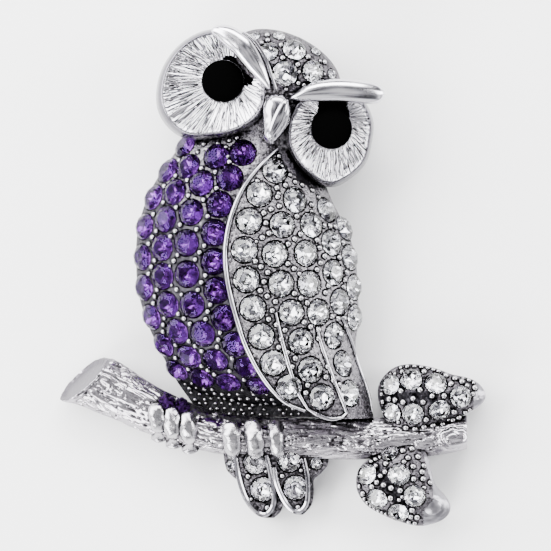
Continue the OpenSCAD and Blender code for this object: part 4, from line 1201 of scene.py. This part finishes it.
# %% [markdown]
# The sheet is rolled round the branch's line, and both its ends are drawn in to the middle. The
# sawn end leans back and is a little hollow.
# %% The branch's surface
KNOT_LONG, KNOT_WIDE = 1.25, 0.72


def branch_sheet(u, v):
    s = FIRST + (LAST - FIRST) * np.clip((v - END) / (1 - 2 * END), 0, 1)
    face = 1 - np.clip(v / END, 0, 1)
    inward = 1 - np.maximum(face, 1 - np.clip((1 - v) / END, 0, 1))
    cx, cy = branch_at(s)
    turn, w, angle = np.radians(curve(BRANCH, 3, s)), BRANCH_D / 2 * curve(BRANCH, 2, s), u * math.tau
    bark, upper = bark_height(s, angle, inward), np.sin(angle) > 0
    x = cx + (w + bark) * inward * np.cos(angle) * np.cos(turn)
    y = cy + (w + bark) * inward * np.cos(angle) * np.sin(turn)
    lift = AXIS + (1 - AXIS) * np.sin(angle)
    z = np.where(inward < 1, BRANCH_H * AXIS + (BRANCH_H * lift - BRANCH_H * AXIS) * inward, BRANCH_H * lift)
    z = z + bark * np.sin(angle)
    for column, row, long_, wide, sunk in PITS:
        px, py = spot(column, row)
        along = (x - px) * np.sin(turn) - (y - py) * np.cos(turn)
        across = (x - px) * np.cos(turn) + (y - py) * np.sin(turn)
        z = z - sunk * np.exp(-(along / long_) ** 4 - (across / wide) ** 4) * upper
    ring = np.hypot((x - at_column(KNOT[0])) / KNOT_LONG, (y - at_row(KNOT[1])) / KNOT_WIDE)
    ring = ring + 0.28 * speckle(x * 1.3, y * 1.3, 2 + 0 * x)
    z = z + (0.10 * np.exp(-((ring - 1) / 0.22) ** 2) - 0.12 * np.exp(-((ring - 1.40) / 0.14) ** 2)
             - 0.10 * np.exp(-((ring - 0.62) / 0.14) ** 2)) * upper
    lean = 0.36 * np.maximum(z, 0) * (1 - smooth_step(s, FIRST, 0.095)) + 0.22 * smooth_step(face, 0.06, 0.16)
    return x + lean * np.sin(turn), y - lean * np.cos(turn), np.maximum(z, 0.0)

# %% [markdown]
# On the bark's top below the bird, black is a painted shadow of the bird, and violet in it is a painted
# reflection of the violet stones. Noise frays the shadow's edge, and it says where the black is violet.
# %% The branch and what ran onto it
# Near black with a violet glint on the ridges: painted shade with a painted reflection of the violet stones,
# for the leg's tufts and the bark below the breast
shade_and_violet_reflection = rhodium("shade_and_violet_reflection_rhodium", "241034", "020103", 0.28, 0.4, (0.60, 1.0), 0.30, 0.14, 2.0)


def branch_finish(face):
    """0 bark, 1 sawn end, 2 black, a painted shadow, 3 violet, a painted reflection of the stones: both lie on
    the bark below the bird.
    """
    x, y, z = face.center / MM
    row = pixel(x, y)[1]
    if Vector((-0.62, 0.78, 0)).dot(face.normal) > 0.45 and x < at_column(112):
        return 1
    if not at_column(182) < x < at_column(372) or z <= 1.2:
        return 0
    patch, fine = fleck(x * 1.1, y * 1.6, 3.0), fleck(x * 3.2, y * 3.2, 8.0)
    between = 5 if at_column(222) < x < at_column(270) else 0
    # Lower edge of the painted shadow, in rows
    run = 419 + between + 9 * patch + 5 * fine if x < at_column(300) else 412 + 10 * fine
    if x < at_column(292) and row < run + 3 and patch + fine > 0.22:
        return 3
    return 2 if row < run else 0


branch = sheet("branch", 130, 620, branch_sheet)
settle(branch, "branch", [bark_metal, sawn, painted_shadow_black, shade_and_violet_reflection], branch_finish, 60)

# %% [markdown]
# ## Toes and tufts
# Two feet hold the branch, three toes each. A toe is a bar that follows the branch's back, with joints that
# swell and a round end. Above the near foot are two tufts of the leg, near black with violet: painted shade
# with a painted reflection of the breast's violet stones.
# %% Toes
# Place along the branch, share of the toe's width, start and end across the branch
TOES = [[0.239, 1.00, 0.24, -0.68], [0.274, 1.05, 0.30, -0.70], [0.314, 1.05, 0.34, -0.66],
        [0.421, 1.02, 0.30, -0.55], [0.475, 1.10, 0.40, -0.58], [0.529, 0.86, 0.42, -0.56]]
# Place along the toe and its thickness there
BALL_TOE = [(0, 0.40), (0.14, 0.92), (0.40, 1.04), (0.60, 0.86), (0.74, 0.46), (0.87, 0.98), (1.0, 0.74)]
PLAIN_TOE = [(0, 0.66), (0.12, 0.96), (0.40, 1.04), (0.70, 0.94), (0.82, 0.76), (0.92, 0.92), (1.0, 0.66)]
TUFT = [(0, 0.5), (0.3, 1), (0.7, 1), (1, 0.5)]
TOE_R, TOE_LIFT, TUFT_R, TUFT_LIFT = 0.84, 0.50, 0.62, 0.55


def toe(along, start, end, radius, lift, seed, steps, wobble=0.14, lumps=1.6):
    rows = []
    for k, swell in steps:
        across = start + (end - start) * k
        x, y = branch_at(along - 0.012 * across)
        z = float(branch_top(along, across)) + lift - radius * 0.8
        rows.append([float(x), float(y) + BRANCH_D * across, z, radius * swell, radius * swell * 0.95])
    return bar("toe", rows, 36, 90, 0.92, 10, wobble, seed, lumps)


toes = [toe(along, start, end, TOE_R * share, TOE_LIFT, i * 3.1, BALL_TOE if i < 3 else PLAIN_TOE)
        for i, (along, share, start, end) in enumerate(TOES)]
settle(toes, "toes", [worn], smooth=60)
# The tufts: painted shade with a painted violet reflection of the breast's stones
tufts = [toe(along, start, end, TUFT_R, TUFT_LIFT, seed, TUFT, 0.5, 3.4)
         for along, start, end, seed in ((0.266, 0.54, 0.14, 20), (0.304, 0.58, 0.20, 24))]
settle(tufts, "leg_tufts", [shade_and_violet_reflection], smooth=60)

# %% [markdown]
# ## Ground below the belly
# Between the belly and the branch the ground is painted near black, a painted shadow, and dotted with small
# bright beads.
# They stand in rows, each a little off its place, and some are missing, as on the real one.
# %% Beads below the belly
# First bead's column and row, and the steps between beads and rows, in pixels
BEAD_START, BEAD_STEP, BEAD_ROW, BEADS_KEPT = (184, 384), 7.6, 5.2, 0.82
beads = []
for line in range(7):
    for step in range(16):
        column = BEAD_START[0] + step * BEAD_STEP + (line % 2) * BEAD_STEP / 2 + rng.uniform(-1.4, 1.4)
        x, y = spot(column, BEAD_START[1] + line * BEAD_ROW + rng.uniform(-1, 1))
        v = (y - FOOT_Y) / BODY_H
        edge = float(curve(RIM, 1, v)) if y > FOOT_Y else 0.9
        if v < 0.0 or x > body_x(edge) - 0.5 or x < body_x(float(curve(BODY, 1, v))) + 0.3:
            continue
        point = on_surface(breast_z, x, y)
        if room_at(point, places["breast_stones"]) < 0.1:
            continue
        if rng.random() < BEADS_KEPT:
            beads.append((point, rng.uniform(0.15, 0.26)))
print("beads", len(beads))
grains("belly_beads", beads, 0.5)

# %% [markdown]
# ## Tail
# Two tail feathers hang below the branch, each a shallow tray with a polished rim that holds
# stones. The rims are wires; the trays are thin reliefs.
# %% Tail
TAIL_W, TAIL_L, TAIL_T = 10.1, 6.05, 3.2
TAIL_X, TAIL_Y = 0.25, BRANCH_Y - 0.37 * BRANCH_D
# Way down, left edge and right edge
LEFT_FEATHER = [
    [-0.108, -0.486, 0.010], [0.231, -0.450, 0.028], [0.354, -0.385, 0.041], [0.446, -0.318, 0.055],
    [0.700, -0.250, 0.075], [0.880, -0.180, 0.055], [0.985, -0.105, -0.010],
]
RIGHT_FEATHER = [
    [-0.108, -0.028, 0.514], [0.169, -0.018, 0.486], [0.292, -0.005, 0.427], [0.390, 0.008, 0.362],
    [0.615, 0.040, 0.358], [0.800, 0.110, 0.332], [0.935, 0.195, 0.260],
]
# Place across and way down
TAIL_RIMS = [
    [[-0.370, 0.000], [-0.330, 0.400], [-0.255, 0.730], [-0.130, 0.930], [-0.035, 0.860], [-0.010, 0.600],
     [-0.080, 0.010]],
    [[0.262, 0.060], [0.300, 0.400], [0.290, 0.760], [0.210, 0.890], [0.110, 0.780], [0.020, 0.480],
     [-0.010, 0.200]],
]
# Column, row and radius
TAIL_GRAINS = ((247.8, 477, 0.26), (266, 472, 0.2), (267, 508.5, 0.24), (282, 476.5, 0.24), (301, 471, 0.22),
               (298, 508, 0.24), (251, 500, 0.18), (309, 470, 0.15), (236, 462, 0.15))


def tail_z(x, y):
    return TAIL_T - 0.12 * np.maximum(TAIL_Y - y, 0) - 0.8 * (np.abs(x - TAIL_X) * 2 / TAIL_W) ** 3


def feather_sheet(rows):
    def shape(u, v):
        down = rows[-1][0] + (rows[0][0] - rows[-1][0]) * v
        left, right = curve(rows, 1, down), curve(rows, 2, down)
        x, y = TAIL_X + TAIL_W * (left + (right - left) * u), TAIL_Y - TAIL_L * down
        return x, y, tail_z(x, y) + cast_skin(x, y)
    return shape


tail = sheet("left_feather", 40, 60, feather_sheet(LEFT_FEATHER), 0.03)
tail = combine(tail, sheet("right_feather", 40, 60, feather_sheet(RIGHT_FEATHER), 0.02), "UNION")
tail_found = [(on_surface(tail_z, *spot(c, r)), radius) for c, r, radius in TAIL_GRAINS]
tail = carve(tail, seats("tail_stones") + moats(tail_found, tail_z))
# Steep faces take the darker side finish, a painted shade
settle(tail, "tail", [deep, side], lambda face: int(on_side(face, 2)))
rims = []
for rim in TAIL_RIMS:
    line = [(TAIL_X + TAIL_W * across, TAIL_Y - TAIL_L * down) for across, down in rim]
    rims.append(wire("tail_rim", on(tail_z, line, 0.1), 0.26, 0.9))
settle(rims, "tail_rims", [polished])
grains("tail_grains", tail_found)

# %% [markdown]
# ## Leaves
# Each leaf is a raised plate with a vein down its middle, set with stones on both sides, and a
# smooth tip. Its sheet is laid round its middle like the crown's, and the vein is a groove along
# a straight line. The lower leaf's tip has a round dent, which a ball presses in.
# %% Measures of the leaves
# A leaf's height, its rim's share of it, the share of the sheet that lies on top; then the vein's depth, width
# and the width of the painted shade along it, and how far apart the edge's grains stand
LEAF_H, LEAF_RIM, LEAF_OUT = 4.8, 0.68, 0.75
VEIN_DEEP, VEIN_WIDE, VEIN_SHADE, EDGE_STEP = 0.42, 0.50, 0.62, 0.52
# Outlines in even steps of a turn, and grains in the photograph
UPPER_LEAF = [1.01, 0.96, 0.79, 0.894, 1.09, 1.04, 0.955, 0.98, 1.15, 0.863, 0.75, 0.82]
LOWER_LEAF = [0.75, 0.74, 0.97, 1.06, 0.88, 0.96, 0.933, 0.86, 0.79, 0.864, 1.09, 1.20]
UPPER_GRAINS = [
    (402, 372), (420, 390), (401, 391), (403, 402), (423, 402), (413, 398.5), (444, 396), (451, 384),
    (462, 382), (467, 386), (473, 394), (393, 429.5), (406, 428), (415, 429), (424, 427), (433, 425.5),
    (443, 424.5), (453, 420), (459, 417.5), (398.5, 422.5), (426, 419.5), (389, 399), (395, 400),
    (432, 396), (450, 399), (424, 372), (446, 376), (455, 379), (475, 388), (454, 412), (395, 374),
]
LOWER_GRAINS = [
    (403, 451), (412, 449), (408, 458), (418, 457), (413, 466.5), (413.5, 479), (423, 479), (385, 472),
    (380.5, 476), (377, 482.5), (383.5, 485), (391, 488), (400, 490.5), (390.5, 498), (411, 517),
    (417, 517.5), (363, 494), (376, 466), (404, 462), (397, 445), (424, 466), (422, 472), (386, 464),
    (402, 497), (399, 500), (424, 488), (372, 487), (430, 483), (412, 510),
]


def off_vein(vein, x, y):
    """Distance in the plan from a vein, which is a straight line between two places."""
    (vx, vy), (wx, wy) = vein
    along = np.clip(((x - vx) * (wx - vx) + (y - vy) * (wy - vy)) / ((wx - vx) ** 2 + (wy - vy) ** 2), 0, 1)
    return np.hypot(x - vx - along * (wx - vx), y - vy - along * (wy - vy))


def upper_tip(x, y):
    return x > at_column(474)


def lower_tip(x, y):
    column, row = pixel(x, y)
    return column > np.interp(row, [440, 455, 470, 485, 500, 512], [414, 424, 428, 433, 434, 424])

# %% [markdown]
# Both leaves are made in one loop: the sheet, the grains that find room, the seats and moats,
# and the finish of each face. The dent is cut before the finish is given.
# %% Leaves
# Name; middle; half length and half width; outline; vein in half sizes; height of its back;
# grains; rows of small grains along the edge, from and to in turns; where its tip is smooth
upper_c = (BRANCH_X + 0.904 * BRANCH_L, BRANCH_Y + BRANCH_D / 2 + 0.30 * 6.5)
lower_c = (BRANCH_X + 0.832 * BRANCH_L, BRANCH_Y - BRANCH_D / 2 - 0.315 * 7.8)
LEAVES = [
    ("upper_leaf", upper_c, 5.1, 3.25, UPPER_LEAF, ((-0.84, 0.03), (0.02, 0.03)), 0.02,
     UPPER_GRAINS, [(0.08, 0.52), (0.60, 0.93)], upper_tip),
    ("lower_leaf", lower_c, 4.45, 3.9, LOWER_LEAF, ((-0.52, 0.40), (0.08, -0.43)), 0.03,
     LOWER_GRAINS, [(0.30, 0.80)], lower_tip),
]
leaf_found = []
for name, centre, a, b, outline, vein, back, spots, edges, tip in LEAVES:
    vein = [(centre[0] + a * g[0], centre[1] + b * g[1]) for g in vein]
    stones = places[name + "_stones"]

    def leaf_z(x, y):
        p, q = (x - centre[0]) / a, (y - centre[1]) / b
        share = np.hypot(p, q) / around(outline, np.arctan2(q, p) / math.tau)
        return LEAF_H * (LEAF_RIM + (1 - LEAF_RIM) * dome(share, 0.8))

    def leaf_sheet(u, v):
        down = np.clip((v - LEAF_OUT) / (1 - LEAF_OUT), 0, 1)
        r = np.minimum(v / LEAF_OUT, 1) * around(outline, u) * (1 - 0.05 * down)
        c, s = circle(u)
        x, y = centre[0] + a * r * c, centre[1] + b * r * s
        top = leaf_z(x, y) + cast_skin(x, y) - VEIN_DEEP * np.exp(-(off_vein(vein, x, y) / VEIN_WIDE) ** 2)
        return x, y, np.where(down > 0, LEAF_H * 0.66 * (1 - down) + back * down, top)

    def leaf_finish(face):
        """0 deep, 1 plain, 2 darkest, a painted shade along the vein."""
        x, y, _ = face.center / MM
        if tip(x, y) or on_side(face, 0.65 * LEAF_H):
            return 1
        # Painted shade along the vein
        return 2 if off_vein(vein, x, y) < VEIN_SHADE else 0

    leaf = sheet(name, 200, 90, leaf_sheet, hole=True)
    found = []
    for column, row in spots:
        fit_grain(found, stones, on_surface(leaf_z, *spot(column, row)), 0.29)
    for first, last in edges:
        count = int(abs(last - first) * math.tau * (a + b) / 2 / EDGE_STEP)
        for k in range(count + 1):
            turn = first + (last - first) * k / count
            r = 0.93 * float(around(outline, turn))
            x, y = centre[0] + a * r * math.cos(turn * math.tau), centre[1] + b * r * math.sin(turn * math.tau)
            fit_grain(found, stones, on_surface(leaf_z, x, y), 0.23)
    leaf = carve(leaf, seats(name + "_stones") + moats(found, leaf_z))
    if name == "lower_leaf":
        x, y = centre[0] + a * 0.74, centre[1] - b * 0.56
        deselect()
        bpy.ops.mesh.primitive_uv_sphere_add(segments=48, ring_count=32, radius=1.5,
                                             location=(x, y, float(leaf_z(x, y)) + 1.28))
        bpy.ops.object.transform_apply(location=True)
        leaf = combine(leaf, bpy.context.object)
    settle(leaf, name, [deep, plain, darkest_shade], leaf_finish)
    leaf_found += found
grains("leaf_grains", leaf_found)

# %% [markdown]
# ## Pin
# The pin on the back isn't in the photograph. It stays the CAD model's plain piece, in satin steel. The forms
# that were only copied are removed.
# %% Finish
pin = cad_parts["pin_back"]
pin.data.materials.clear()
pin.data.materials.append(steel)
for spare in (cut_stone, seat_form, grain_form, moat_form):
    bpy.data.objects.remove(spare)
